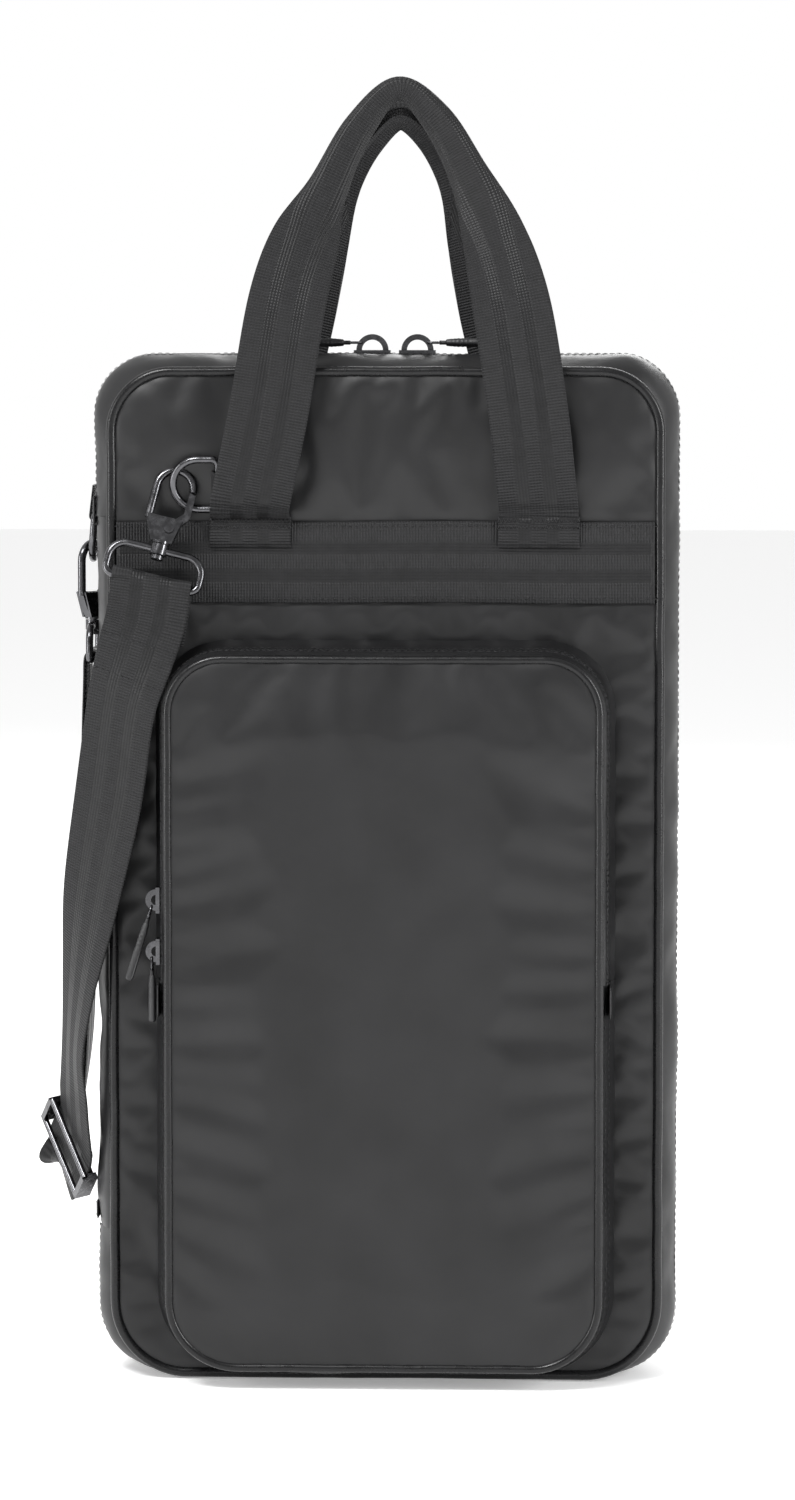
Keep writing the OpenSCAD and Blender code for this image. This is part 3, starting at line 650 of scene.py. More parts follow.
def studio():
    world = bpy.data.worlds.new("studio")
    world.use_nodes = True
    tree = world.node_tree
    coords = add_node(tree, "ShaderNodeTexCoord")
    split = add_node(tree, "ShaderNodeSeparateXYZ")
    tree.links.new(coords.outputs["Generated"], split.inputs["Vector"])
    depth = maths(tree, "ADD", maths(tree, "MULTIPLY", split.outputs["Y"], 0.5), 0.5)
    tone = ramp(tree, depth, [(0.0, 0.36), (0.4, 0.45), (0.7, 0.98), (1.0, 1.0)])
    tree.links.new(tone, tree.nodes["Background"].inputs["Color"])
    bpy.context.scene.world = world
    area_light("key", (-0.9, -1.5, 2.3), (0, 0, 0.33), (1.1, 0.6), 62)
    area_light("left", (-2.0, -0.9, 0.6), (0, 0, 0.3), (0.4, 1.5), 22)
    area_light("right", (1.9, -1.0, 0.9), (0, 0, 0.3), (0.4, 1.5), 36)
    area_light("back", (0.6, 2.2, 1.8), (0, 0, 0.3), (1.6, 0.8), 28)
    mat, _, bsdf = new_material("pale_floor", (0.9, 0.9, 0.9), 0.8, specular=0.1)
    bsdf.inputs["Emission Color"].default_value = (1, 1, 1, 1)
    bsdf.inputs["Emission Strength"].default_value = 0.28
    half = 9
    corners = [(-half, -half, 0), (half, -half, 0), (half, half, 0), (-half, half, 0)]
    floor = make_mesh("floor", corners, [(0, 1, 2, 3)], mat, smooth=False)
    bpy.context.scene.view_settings.view_transform = "Standard"


camera()
studio()


# ---------------------------------------------------------------- body

def gusset_rows(side, part):
    """Rows of points from the piping to the zip's edge for one half; part picks the walk's indices."""
    rows, outs = [], []
    face_y = FRONT_Y if side < 0 else BACK_Y
    edge_y = ZIP_Y + side * ZIP_HALF
    steps = 9
    for k in range(steps + 1):
        t = k / steps
        swell = math.sin(t * math.pi / 2) ** 0.8
        inset = [(1 - swell) * edge for edge in (FACE_SIDE, FACE_DROP, FACE_LIFT)]
        points, normals = BODY.walk(*inset, shrink=False)
        y = face_y + (edge_y - face_y) * t
        rows.append(to_3d(points, y)[part])
        outs.append(out_3d(normals)[part])
    return rows, outs


def crease(rows, outs, amount, seed, scale=34):
    """Soft folds across a strip, fading out at its two sewn edges."""
    last = len(rows) - 1
    for k in range(1, last):
        fade = math.sin(math.pi * k / last) ** 0.7
        folds = wobble(rows[k] * np.array([1.0, 0.35, 1.0]), scale, seed)
        fine = wobble(rows[k], scale * 2.4, seed + 5)
        lift = amount * fade * (folds + 0.35 * fine)
        lift = np.where(rows[k][:, 2] < 6 * MM, 0, lift)
        rows[k] = rows[k] + outs[k] * lift[:, None]


def open_part():
    """Indices of the walk that the zip runs along: all but the spine."""
    points, _ = BODY.walk()
    start = BODY.marks[-2]
    return np.arange(0, start + 1), np.append(np.arange(start, len(points)), 0)


ZIP_PART, SPINE_PART = open_part()


def hem(rows, outs, depth=1.3 * MM):
    """Turns the last row inwards, so that the cut edge shows its thickness."""
    rows.append(rows[-1] - outs[-1] * depth)
    outs.append(outs[-1])


def build_gusset(name, side, body, seed):
    rows, outs = gusset_rows(side, ZIP_PART)
    crease(rows, outs, 1.5 * MM, seed)
    seam = rows[-2] * 0.75 + rows[-1] * 0.25
    stitch_row(name + "_stitches", seam, outs[-2], body)
    stitch_row(name + "_piping_stitches", rows[1] * 0.55 + rows[0] * 0.45, outs[1], body)
    hem(rows, outs)
    obj = loft(name + "_vinyl", rows, VINYL, flip=side < 0)
    finish_piece(subdivide(obj), body, [name])


def build_spine():
    rows, outs = [], []
    steps = 22
    y0, y1 = FRONT_Y, BACK_Y - 3 * MM
    for k in range(steps + 1):
        t = k / steps
        swell = math.sin(t * math.pi) ** 0.55
        points, normals = BODY.walk((1 - swell) * (FACE_SIDE - 0.6 * MM), 0, 0, shrink=False)
        rows.append(to_3d(points, y0 + (y1 - y0) * t)[SPINE_PART])
        outs.append(out_3d(normals)[SPINE_PART])
    crease(rows, outs, 2.2 * MM, 31, 26)
    obj = loft("spine_vinyl", rows, VINYL, flip=True)
    finish_piece(subdivide(obj), "front_half", ["spine_panel"])
    return rows, outs


def build_piping(name, y, body):
    points, normals = BODY.walk(FACE_SIDE, FACE_DROP, FACE_LIFT, shrink=False)
    path = to_3d(points, y)
    path = path + out_3d(normals) * (0.25 * MM * wobble(path, 40, 3))[:, None]
    obj = tube(name + "_cord", path, PIPE_R, PIPING, 12, closed=True)
    finish_piece(obj, body, [name])


def zip_line(inset, y, part=ZIP_PART):
    points, normals = BODY.walk(inset, inset, inset)
    return to_3d(points, y)[part], out_3d(normals)[part]


def build_zip_half(name, side, body, offset):
    tape_node, teeth_node = "zip_tape_" + name, "zip_teeth_" + name
    inset = 2.4 * MM
    rows = []
    for dy in (0.9 * MM, 3.5 * MM, 7.0 * MM):
        rows.append(zip_line(inset, ZIP_Y + side * dy)[0])
    count = len(rows[0])
    tape = loft("zip_tape_%s_cloth" % name, rows, TAPE, flip=side < 0)
    layer = tape.data.uv_layers.new(name="UVMap")
    run = np.concatenate([[0], np.cumsum(np.linalg.norm(np.diff(rows[0], axis=0), axis=1))])
    index = np.empty(len(tape.data.loops), dtype=np.int64)
    tape.data.loops.foreach_get("vertex_index", index)
    uvs = np.column_stack([(index // count) / 2 * 0.2, run[index % count]])
    layer.data.foreach_set("uv", uvs.ravel())
    solid = tape.modifiers.new("Thickness", "SOLIDIFY")
    solid.thickness = 0.7 * MM
    finish_piece(tape, body, [tape_node])
    path, out = zip_line(0.5 * MM, ZIP_Y + side * 0.3 * MM)
    inward = np.array([0, -side, 0.0])
    teeth_row("zip_teeth_%s_moulded" % name, path, out, inward, body, [teeth_node], offset=offset)


def build_face(y, side, node, pins_extra, seed):
    """The large front or back panel: foam-backed vinyl, swollen between its seams."""
    face = Rim(FACE_HW, FACE_BOTTOM, FACE_TOP, R_TOP, R_BOTTOM, (0.2,))
    x, z, faces = panel_grid(face, 1.2 * MM, 3.2 * MM)
    depth = face.distance(x, z, 1.2 * MM)
    pins = np.where(depth < 1.0 * MM, 1.0, 0.0)
    pins = np.maximum(pins, pins_extra(x, z))
    points = np.column_stack([x, np.full(len(x), y), z])
    ripple = wobble(points, 28, seed) * 0.5 * MM
    points[:, 1] += side * np.where(pins > 0, 0, np.abs(ripple) + 0.3 * MM)
    if side > 0:
        faces = [f[::-1] for f in faces]
    obj = make_mesh(node + "_vinyl", points, faces, VINYL)
    billow(obj, pins, 0.012, 2.2, 5 * MM, bending=5.0)
    return obj


def front_pins(x, z):
    band = (z > BAND_Z0 - 1 * MM) & (z < BAND_Z1 + 1 * MM)
    edge = POCKET.distance(x, z)
    pocket = edge > -1.6 * MM
    return np.where(band | pocket, 1.0, 0.0)


def back_pins(x, z):
    band = (z > BAND_Z0 - 1 * MM) & (z < BAND_Z1 + 1 * MM)
    return np.where(band, 1.0, 0.0)


def flat_ribbon(name, y, side, x0, x1, z0, z1, body, node):
    """The webbing band, sewn flat across a panel."""
    count = 120
    x = np.linspace(x0, x1, count)
    z = np.full(count, (z0 + z1) / 2)
    sag = 0.35 * MM * np.sin(x * 60) + 0.3 * MM * np.sin(x * 23 + 1)
    centres = np.column_stack([x, y + side * 0.2 * MM * np.sin(x * 90), z + sag * 0.5])
    across = np.tile([0, 0, 1.0], (count, 1))
    half_w = np.full(count, (z1 - z0) / 2)
    obj, _, _, _ = ribbon(name, centres, across, half_w, np.full(count, WEB_T / 2), WEBBING)
    finish_piece(obj, body, [node])
    for edge in (-1, 1):
        path = centres + np.array([0, side * WEB_T * 0.5, edge * ((z1 - z0) / 2 - 2.2 * MM)])
        up = np.tile([0, side, 0.0], (count, 1))
        stitch_row(name + ("_top" if edge > 0 else "_bottom") + "_stitches", path, up, body,
                   pitch=3.2 * MM, length=2.2 * MM, width=0.45 * MM)


def build_body():
    build_gusset("front_gusset", -1, "front_half", 11)
    build_gusset("back_gusset", 1, "back_half", 17)
    build_spine()
    build_piping("front_piping", FRONT_Y, "front_half")
    build_piping("back_piping", BACK_Y, "back_half")
    build_zip_half("front", -1, "front_half", 0.0)
    build_zip_half("back", 1, "back_half", 0.5)
    front = build_face(FRONT_Y - 0.5 * MM, -1, "front_panel", front_pins, 3)
    finish_piece(subdivide(front), "front_half", ["front_panel"])
    back = build_face(BACK_Y + 0.5 * MM, 1, "back_panel", back_pins, 8)
    finish_piece(subdivide(back), "back_half", ["back_panel"])
    edge = FACE_HW - PIPE_R
    y = (low("front_band").y + high("front_band").y) / 2
    flat_ribbon("front_band_webbing", y, -1, -edge, edge, BAND_Z0, BAND_Z1, "front_half", "front_band")
    y = (low("back_band").y + high("back_band").y) / 2
    flat_ribbon("back_band_webbing", y, 1, -edge, edge, BAND_Z0, BAND_Z1, "back_half", "back_band")


build_body()


# ---------------------------------------------------------------- pocket

def pocket_rows(stations, part):
    """Rows round the pocket; stations are (y, distance the outline is moved in)."""
    rows, outs = [], []
    for y, inset in stations:
        points, normals = POCKET.walk(inset, inset, inset)
        rows.append(to_3d(points, y)[part])
        outs.append(out_3d(normals)[part])
    return rows, outs


def pocket_parts():
    points, _ = POCKET.walk()
    right = POCKET.marks[1]
    return np.arange(0, right + 1), np.append(np.arange(right, len(points)), 0)


FLAP_PART, POUCH_PART = pocket_parts()
RIM_STEP = POCKET_BASE_HW - POCKET_HW


def build_pocket_walls():
    base_y = FRONT_Y - 0.7 * MM
    foot = -3.0 * MM
    rows, outs = pocket_rows([(base_y, foot), (base_y - 2 * MM, foot * 0.7), (base_y - 5 * MM, foot * 0.2),
                              (base_y - 8 * MM, 0.2 * MM), (CHAIN_Y + 4.2 * MM, 0.6 * MM)], FLAP_PART)
    crease(rows, outs, 0.7 * MM, 41, 40)
    stitch_row("pocket_rim_stitches", rows[-1] * 0.6 + rows[-2] * 0.4, outs[-1], "front_half")
    hem(rows, outs, 1.0 * MM)
    rim = subdivide(loft("pocket_rim_vinyl", rows, VINYL_TRIM, flip=True))
    finish_piece(rim, "front_half", ["pocket_gusset"])
    stations = [(base_y, foot), (base_y - 3 * MM, foot * 0.6), (base_y - 7 * MM, foot * 0.1),
                (base_y - 12 * MM, 0.4 * MM), (base_y - 17 * MM, 1.4 * MM), (base_y - 22 * MM, 2.8 * MM),
                (POCKET_Y, RIM_STEP)]
    rows, outs = pocket_rows(stations, POUCH_PART)
    crease(rows, outs, 1.6 * MM, 43, 30)
    pouch = subdivide(loft("pouch_side_vinyl", rows, VINYL_TRIM, flip=True))
    finish_piece(pouch, "front_half")
    for k, name in ((2, "pouch_stitches_a"), (4, "pouch_stitches_b")):
        stitch_row(name, rows[k] + outs[k] * 0.1 * MM, outs[k], "front_half")
    stations = [(CHAIN_Y - 4.2 * MM, 0.9 * MM), (CHAIN_Y - 7 * MM, 1.3 * MM), (CHAIN_Y - 10 * MM, 2.6 * MM),
                (POCKET_Y, RIM_STEP)]
    rows, outs = pocket_rows(stations, FLAP_PART)
    stitch_row("flap_edge_stitches", rows[0] * 0.6 + rows[1] * 0.4, outs[0], "pocket_flap")
    crease(rows, outs, 0.5 * MM, 47, 40)
    rows.insert(0, rows[0] - outs[0] * 1.0 * MM)
    flap = subdivide(loft("flap_side_vinyl", rows, VINYL_TRIM, flip=True))
    finish_piece(flap, "pocket_flap", ["flap_gusset"])


def build_pocket_zip():
    for name, side, body, offset in (("outer", 1, "front_half", 0.0), ("inner", -1, "pocket_flap", 0.5)):
        stations = [(CHAIN_Y + side * 0.6 * MM, 1.6 * MM), (CHAIN_Y + side * 5 * MM, 1.9 * MM)]
        rows, _ = pocket_rows(stations, FLAP_PART)
        count = len(rows[0])
        tape = loft("pocket_tape_%s_cloth" % name, rows, TAPE, flip=side > 0)
        layer = tape.data.uv_layers.new(name="UVMap")
        run = np.concatenate([[0], np.cumsum(np.linalg.norm(np.diff(rows[0], axis=0), axis=1))])
        index = np.empty(len(tape.data.loops), dtype=np.int64)
        tape.data.loops.foreach_get("vertex_index", index)
        layer.data.foreach_set("uv", np.column_stack([(index // count) * 0.2, run[index % count]]).ravel())
        solid = tape.modifiers.new("Thickness", "SOLIDIFY")
        solid.thickness = 0.5 * MM
        finish_piece(tape, body, ["pocket_tape_" + name])
        rows, outs = pocket_rows([(CHAIN_Y + side * 0.25 * MM, 0.4 * MM)], FLAP_PART)
        teeth_row("pocket_teeth_%s_moulded" % name, rows[0], outs[0], np.array([0, -side, 0.0]), body,
                  ["pocket_teeth_" + name], pitch=2.4 * MM, size=(1.2, 2.3, 1.2), offset=offset, reach=0.4)


def build_pocket_face():
    face = Rim(POCKET_HW, POCKET_BOTTOM, POCKET_TOP, POCKET_R_TOP, POCKET_R_BOTTOM, (0.2,))
    x, z, faces = panel_grid(face, 0.8 * MM, 3.0 * MM)
    depth = face.distance(x, z, 0.8 * MM)
    pins = np.where(depth < 1.0 * MM, 1.0, 0.0)
    points = np.column_stack([x, np.full(len(x), POCKET_Y - 0.6 * MM), z])
    points[:, 1] -= np.where(pins > 0, 0, 0.3 * MM + np.abs(wobble(points, 16, 21)) * 0.6 * MM)
    obj = make_mesh("pocket_face_vinyl", points, faces, VINYL)
    billow(obj, pins, 0.006, 2.4, 6 * MM, bending=8.0)
    subdivide(obj)
    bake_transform(obj)
    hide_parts("flap_panel", "pouch_panel")
    return obj


def build_pocket_piping():
    points, normals = POCKET.walk(RIM_STEP, RIM_STEP, RIM_STEP)
    path = to_3d(points, POCKET_Y)
    path = path + out_3d(normals) * (0.2 * MM * wobble(path, 40, 13))[:, None]
    cord = tube("pocket_piping_cord", path, POCKET_PIPE_R, PIPING, 12, closed=True)
    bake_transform(cord)
    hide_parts("flap_piping", "pouch_piping")


def build_pocket():
    build_pocket_walls()
    build_pocket_zip()
    build_pocket_face()
    build_pocket_piping()


build_pocket()


# ---------------------------------------------------------------- handles and strap

# x, distance from the middle of the depth, z, turn of the width, half width, half depth, how far it is folded
HANDLE_Y = high("back_band").y + 0.8 * MM
WEB_HW = WEB_W / 2
FRONT_HANDLE = [
    (-62.5, 34.2, 405.2, 0, 19, 0.8, 0), (-62.5, 39.2, 408.6, 0, 19, 0.8, 0),
    (-60.5, 43.4, 418.6, 5, 19, 0.8, 0.05), (-53, 44.4, 454.6, 11, 19, 0.8, 0.08),
    (-45, 38.2, 503.6, 14, 18.6, 0.8, 0.12), (-37, 28, 532.6, 26, 16, 1.6, 0.4),
    (-27, 20, 556.6, 36, 9.6, 2.4, 0.9), (-13, 12, 584.6, 58, 7.4, 2.5, 1),
    (5, 9, 602.6, 90, 5.6, 2.5, 1), (23, 12, 588.6, 122, 7.6, 2.5, 1),
    (38, 19, 562.6, 144, 9.5, 2.5, 1), (49, 27, 536.6, 156, 14.5, 1.8, 0.5),
    (58, 38.2, 503.6, 166, 18.6, 0.8, 0.12), (66, 43.7, 454.6, 172, 19, 0.8, 0.08),
    (70, 40.2, 418.6, 178, 19, 0.8, 0.05), (71, 36.2, 408.6, 180, 19, 0.8, 0),
    (71, 34.2, 405.2, 180, 19, 0.8, 0)]
BACK_HANDLE = [
    (-60, 34.2, 404.6, 0, 19, 0.8, 0), (-60, 39.2, 418.6, 0, 19, 0.8, 0.05),
    (-55, 41.2, 454.6, 9, 19, 0.8, 0.08), (-44, 36.2, 500.6, 14, 18.6, 0.8, 0.12),
    (-33, 26, 536.6, 28, 14.5, 1.8, 0.5), (-22, 18, 560.6, 40, 9.5, 2.4, 0.95),
    (-10, 12, 580.6, 60, 9, 2.5, 1), (5, 9, 592.6, 90, 8.6, 2.5, 1), (20, 12, 582.6, 120, 9, 2.5, 1),
    (32, 18, 560.6, 140, 9.5, 2.4, 0.95), (41, 26, 534.6, 156, 14.5, 1.8, 0.5),
    (50, 36.2, 500.6, 168, 18.6, 0.8, 0.12), (61, 41.2, 454.6, 172, 19, 0.8, 0.08),
    (66, 39.2, 418.6, 180, 19, 0.8, 0.05), (67, 34.2, 404.6, 180, 19, 0.8, 0)]


def folded_web(name, rows, side, material):
    """Webbing that lies flat on its legs and folds lengthwise round the grip."""
    table = np.array(rows, dtype=float)
    fine = catmull(table, 12)
    centre = np.column_stack([fine[:, 0], side * fine[:, 1], fine[:, 2]]) * MM
    turn = np.radians(fine[:, 3])
    across = np.column_stack([np.cos(turn), np.zeros(len(turn)), -np.sin(turn)])
    tangent = unit_rows(np.gradient(centre, axis=0))
    width = unit_rows(across - np.sum(across * tangent, axis=1, keepdims=True) * tangent)
    front = np.cross(tangent, width)
    front = front * np.where(np.sum(front * np.array([0, side, 0]), axis=1, keepdims=True) < 0, -1, 1)
    run = np.concatenate([[0], np.cumsum(np.linalg.norm(np.diff(centre, axis=0), axis=1))])
    columns, half = 24, 0.7 * MM
    verts, uvs = [], []
    for i in range(len(centre)):
        hw, depth, fold = fine[i, 4] * MM, fine[i, 5] * MM, min(max(fine[i, 6], 0), 1)
        sweep = max(fold, 0.04) * math.radians(168)
        widest = math.sin(min(sweep, math.pi / 2))
        kink = 0.5 * MM * fold * math.sin(run[i] * 170 + side) * (1 + math.sin(run[i] * 61))
        ring = []
        for layer in (1, -1):
            for k in range(columns + 1):
                s = (2 * k / columns - 1) * layer
                angle = s * sweep
                x = (hw - half) * math.sin(angle) / widest
                drop = (1 - math.cos(angle)) / 2 * max(depth * 2 - 2 * half, 0.1 * MM)
                drop *= min(1, fold * 2 + 0.1)
                nx, ny = math.sin(angle), math.cos(angle)
                rise = depth - half - drop + kink * (1 - abs(s))
                x += layer * half * nx * min(1, 3 * fold)
                ring.append((x, rise + layer * half * (ny if fold > 0.3 else 1), s))
        for x, y, s in ring:
            verts.append(centre[i] + width[i] * x + front[i] * y)
            uvs.append((0.5 + 0.5 * s, run[i]))
    count = 2 * (columns + 1)
    faces = loft_faces(len(centre), count, True)
    faces.append(tuple(range(count))[::-1])
    faces.append(tuple((len(centre) - 1) * count + k for k in range(count)))
    obj = make_mesh(name, verts, faces, material, uvs)
    fix_normals(obj)
    return obj, centre, width, front


def fix_normals(obj):
    """Turns the faces of a closed mesh outwards."""
    data = bmesh.new()
    data.from_mesh(obj.data)
    bmesh.ops.recalc_face_normals(data, faces=data.faces)
    data.to_mesh(obj.data)
    data.free()


def bartack(name, x0, x1, y, z, body, depth=1.6 * MM):
    """A dense zigzag of thread across the foot of a handle."""
    count = round((x1 - x0) / (0.9 * MM))
    path = np.array([[x0 + (x1 - x0) * k / count, y, z + (depth if k % 2 else -depth) / 2
                      + 0.25 * MM * math.sin(k * 2.3)] for k in range(count + 1)])
    obj = tube(name, path, 0.28 * MM, THREAD, 6)
    return finish_piece(obj, body)


def build_handle(name, rows, side, body, base_body):
    obj, centre, width, front = folded_web(name + "_webbing", rows, side, WEBBING)
    finish_piece(obj, body, [name])
    for which in (0, -1):
        x = rows[which][0] * MM
        y = side * (HANDLE_Y + 0.5 * MM)
        for k, dz in enumerate((0.4, -2.6)):
            bartack("%s_bartack_%d_%d" % (name, which % 2, k), x - WEB_HW, x + WEB_HW, y + side * 0.35 * MM,
                    BAND_Z1 + dz * MM, base_body)
        foot = np.array([[x, side * (HANDLE_Y + 0.15 * MM), z * MM] for z in (391, 395, 399, 403, 405.5)])
        patch, _, _, _ = ribbon("%s_foot_%d" % (name, which % 2), foot, np.tile([1.0, 0, 0], (5, 1)),
                                np.full(5, WEB_HW), np.full(5, 0.6 * MM), WEBBING)
        finish_piece(patch, base_body)


# x, y, z and the way across the webbing, from the sewn end in the front loop to the sewn end at the glide
GLIDE_W = (0.4, -0.48, -0.78)
STRAP = [
    (-110.9, -46.2, 348.6, 0.97, 0, -0.24), (-108.3, -46, 363.6, 0.97, 0, -0.24),
    (-107.2, -45.8, 373.6, 0.97, 0, -0.24), (-106.9, -47, 377.6, 0.97, 0, -0.24),
    (-106.8, -48.9, 378.6, 0.97, 0, -0.24), (-106.9, -50.7, 377.6, 0.97, 0, -0.24),
    (-107.3, -51.9, 373.6, 0.97, 0, -0.24), (-109.9, -52.1, 357.6, 0.97, 0, -0.24),
    (-114.8, -52, 341, 0.94, -0.2, -0.24), (-121.3, -50.5, 318, 0.87, -0.45, -0.2),
    (-128, -44, 275, 0.87, -0.47, -0.16), (-137, -35, 230, 0.75, -0.65, -0.1),
    (-144, -24, 190, 0.5, -0.85, -0.08), (-148, -16, 155, 0.35, -0.92, -0.1),
    (-148, -12.5, 130, 0.4, -0.75, -0.45), (-147.9, -5.4, 111.6, *GLIDE_W),
    (-151.3, 3.2, 104.1, *GLIDE_W), (-155, 12.5, 96, *GLIDE_W), (-157, 21, 92, 0.3, -0.65, -0.7),
    (-156, 27, 99, 0.15, -0.85, -0.5), (-151, 27, 120, 0.05, -0.95, -0.3), (-148, 25, 150, 0, -1, -0.1),
    (-145.5, 20, 220, 0, -1, 0), (-144.2, 16, 290, 0, -1, 0), (-143.1, 15, 325, 0, -1, 0),
    (-142.8, 15, 336, 0, -1, 0), (-141.7, 15, 339.2, 0, -1, 0), (-140, 15, 340.2, 0, -1, 0),
    (-138.3, 15, 339.2, 0, -1, 0), (-137.3, 15, 334, 0, -1, 0), (-139.4, 16, 290, 0, -1, 0),
    (-141.6, 19, 220, 0, -1, 0), (-143.5, 20.5, 160, 0, -1, -0.05), (-147, 23, 125, 0.05, -0.95, -0.25),
    (-151, 22.5, 104, 0.15, -0.85, -0.5), (-152, 18.5, 98, 0.3, -0.65, -0.7),
    (-150, 12.7, 98.7, *GLIDE_W), (-147.3, 5.4, 104.9, *GLIDE_W)]


def build_strap():
    fine = catmull(STRAP, 16)
    centre, across = fine[:, :3] * MM, fine[:, 3:]
    count = len(centre)
    station = np.arange(count) / 16
    gather = np.exp(-((station - 18.8) / 0.75) ** 2) + np.exp(-((station - 34.5) / 0.75) ** 2)
    half_width = (WEB_HW - 0.4 * MM) * (1 - 0.5 * gather)
    obj, side, up, run = ribbon("shoulder_strap_webbing", centre, across, half_width,
                                (0.75 + 0.5 * gather) * MM, WEBBING, sides=24)
    finish_piece(obj, "front_half", ["shoulder_strap"])
    for k, (first, last) in enumerate(((10, 20), (24, 34))):
        i = 16 * 7 + first
        steps = 9
        reach = WEB_HW - 2 * MM
        row = np.array([centre[i] + side[i] * reach * (2 * t / steps - 1) for t in range(steps + 1)])
        flip = 1 if np.dot(up[i], (0, -1, 0)) > 0 else -1
        outward = up[i] * flip
        stitch_row("strap_stitches_%d" % k, row + outward * 0.75 * MM, np.tile(outward, (steps + 1, 1)),
                   "front_half", pitch=3 * MM, length=2.2 * MM, width=0.45 * MM)


build_handle("front_handle", FRONT_HANDLE, -1, "front_handle", "front_half")
build_handle("back_handle", BACK_HANDLE, 1, "back_handle", "back_half")
build_strap()


# ---------------------------------------------------------------- small sewn parts

def patch(name, centre, out, width, length, thick, body, nodes=()):
    """A small rounded vinyl patch, its length upright; out points off the surface."""
    out = Vector(out).normalized()
    run = Vector((0, 0, 1))
    side = run.cross(out)
    rows, columns = 9, 9
    verts, uvs = [], []
    for layer in (1, 0):
        for j in range(rows):
            for i in range(columns):
                u, v = 2 * i / (columns - 1) - 1, 2 * j / (rows - 1) - 1
                edge = max(abs(u), abs(v)) ** 6
                height = thick * (1 - 0.55 * edge) * layer
                p = Vector(centre) + side * (u * width / 2) + run * (v * length / 2) + out * height
                verts.append(p)
                uvs.append((0.5 + 0.5 * u * 0.3, v * length / 2 + 0.1))
    n = rows * columns
    faces = []
    for j in range(rows - 1):
        for i in range(columns - 1):
            a = j * columns + i
            faces.append((a, a + 1, a + columns + 1, a + columns))
            faces.append((n + a, n + a + columns, n + a + columns + 1, n + a + 1))
    loop = ([i for i in range(columns)] + [j * columns + columns - 1 for j in range(1, rows)]
            + [(rows - 1) * columns + i for i in range(columns - 2, -1, -1)]
            + [j * columns for j in range(rows - 2, 0, -1)])
    for k in range(len(loop)):
        a, b = loop[k], loop[(k + 1) % len(loop)]
        faces.append((b, a, n + a, n + b))
    obj = make_mesh(name, verts, faces, VINYL_TRIM, uvs)
    fix_normals(obj)
    finish_piece(obj, body, nodes)
    for k, end in enumerate((-1, 1)):
        edge = Vector(centre) + run * (end * (length / 2 - 1.4 * MM)) + out * thick
        inner = np.array([edge + side * (width * (t / 6 - 0.5) * 0.84) for t in range(7)])
        stitch_row("%s_stitches_%d" % (name, k), inner, np.tile(out, (7, 1)), body, pitch=2.4 * MM,
                   length=1.7 * MM, width=0.4 * MM)
    return obj


def build_end_tabs():
    z_low, z_high = low("zip_end_tabs").z, high("zip_end_tabs").z
    x = -HALF_W - 0.5 * MM
    patch("zip_end_tab_low", (x, ZIP_Y, z_low + 4 * MM), (-1, 0, 0), 15 * MM, 8.6 * MM, 1.2 * MM,
          "front_half", ["zip_end_tabs"])
    patch("zip_end_tab_high", (x, ZIP_Y, z_high - 7 * MM), (-1, 0, 0), 15 * MM, 14 * MM, 1.2 * MM,
          "front_half")
    z0, z1 = low("pocket_end_tabs").z, high("pocket_end_tabs").z
    for side in (-1, 1):
        centre = (side * (POCKET_BASE_HW + 0.3 * MM), CHAIN_Y, (z0 + z1) / 2)
        patch("pocket_end_tab_%d" % (side + 1), centre, (side, 0, 0), 14 * MM, z1 - z0, 1.1 * MM,
              "front_half", ["pocket_end_tabs"] if side > 0 else ())


def loop_tab(name, bar, axis, out, tail, width, node):
    """Webbing wrapped round a ring's bar, with its two layers running along tail."""
    bar = Vector(bar)
    axis, out, tail = (Vector(v).normalized() for v in (axis, out, tail))
    r = 2.75 * MM
    points = []
    for k in range(5):
        points.append(bar + out * r + tail * (14 * MM * (1 - k / 4) + 0.2 * MM))
    for k in range(1, 12):
        a = math.pi * k / 12
        points.append(bar + out * r * math.cos(a) - tail * r * math.sin(a))
    for k in range(5):
        points.append(bar - out * r + tail * (14 * MM * k / 4 + 0.2 * MM))
    count = len(points)
    obj, _, _, _ = ribbon(name, np.array(points), np.tile(axis, (count, 1)), np.full(count, width / 2),
                          np.full(count, 0.5 * MM), WEBBING, sides=12)
    fix_normals(obj)
    finish_piece(obj, "front_half", [node])


def build_ring_tabs():
    lean = math.radians(15)
    bar = (-77 * MM, -36.6 * MM, 420 * MM)
    axis = (0, -math.sin(lean), math.cos(lean))
    loop_tab("front_ring_tab_webbing", bar, axis, (0, -1, -math.tan(lean)), (1, 0, 0), 13 * MM,
             "front_ring_tab")
    bar = (-138.2 * MM, 15 * MM, 404 * MM)
    loop_tab("spine_ring_tab_webbing", bar, (0, 1, 0), (-1, 0, 0), (0.12, 0, 1), 17 * MM,
             "spine_ring_tab")


build_end_tabs()
build_ring_tabs()


# ---------------------------------------------------------------- zip pulls

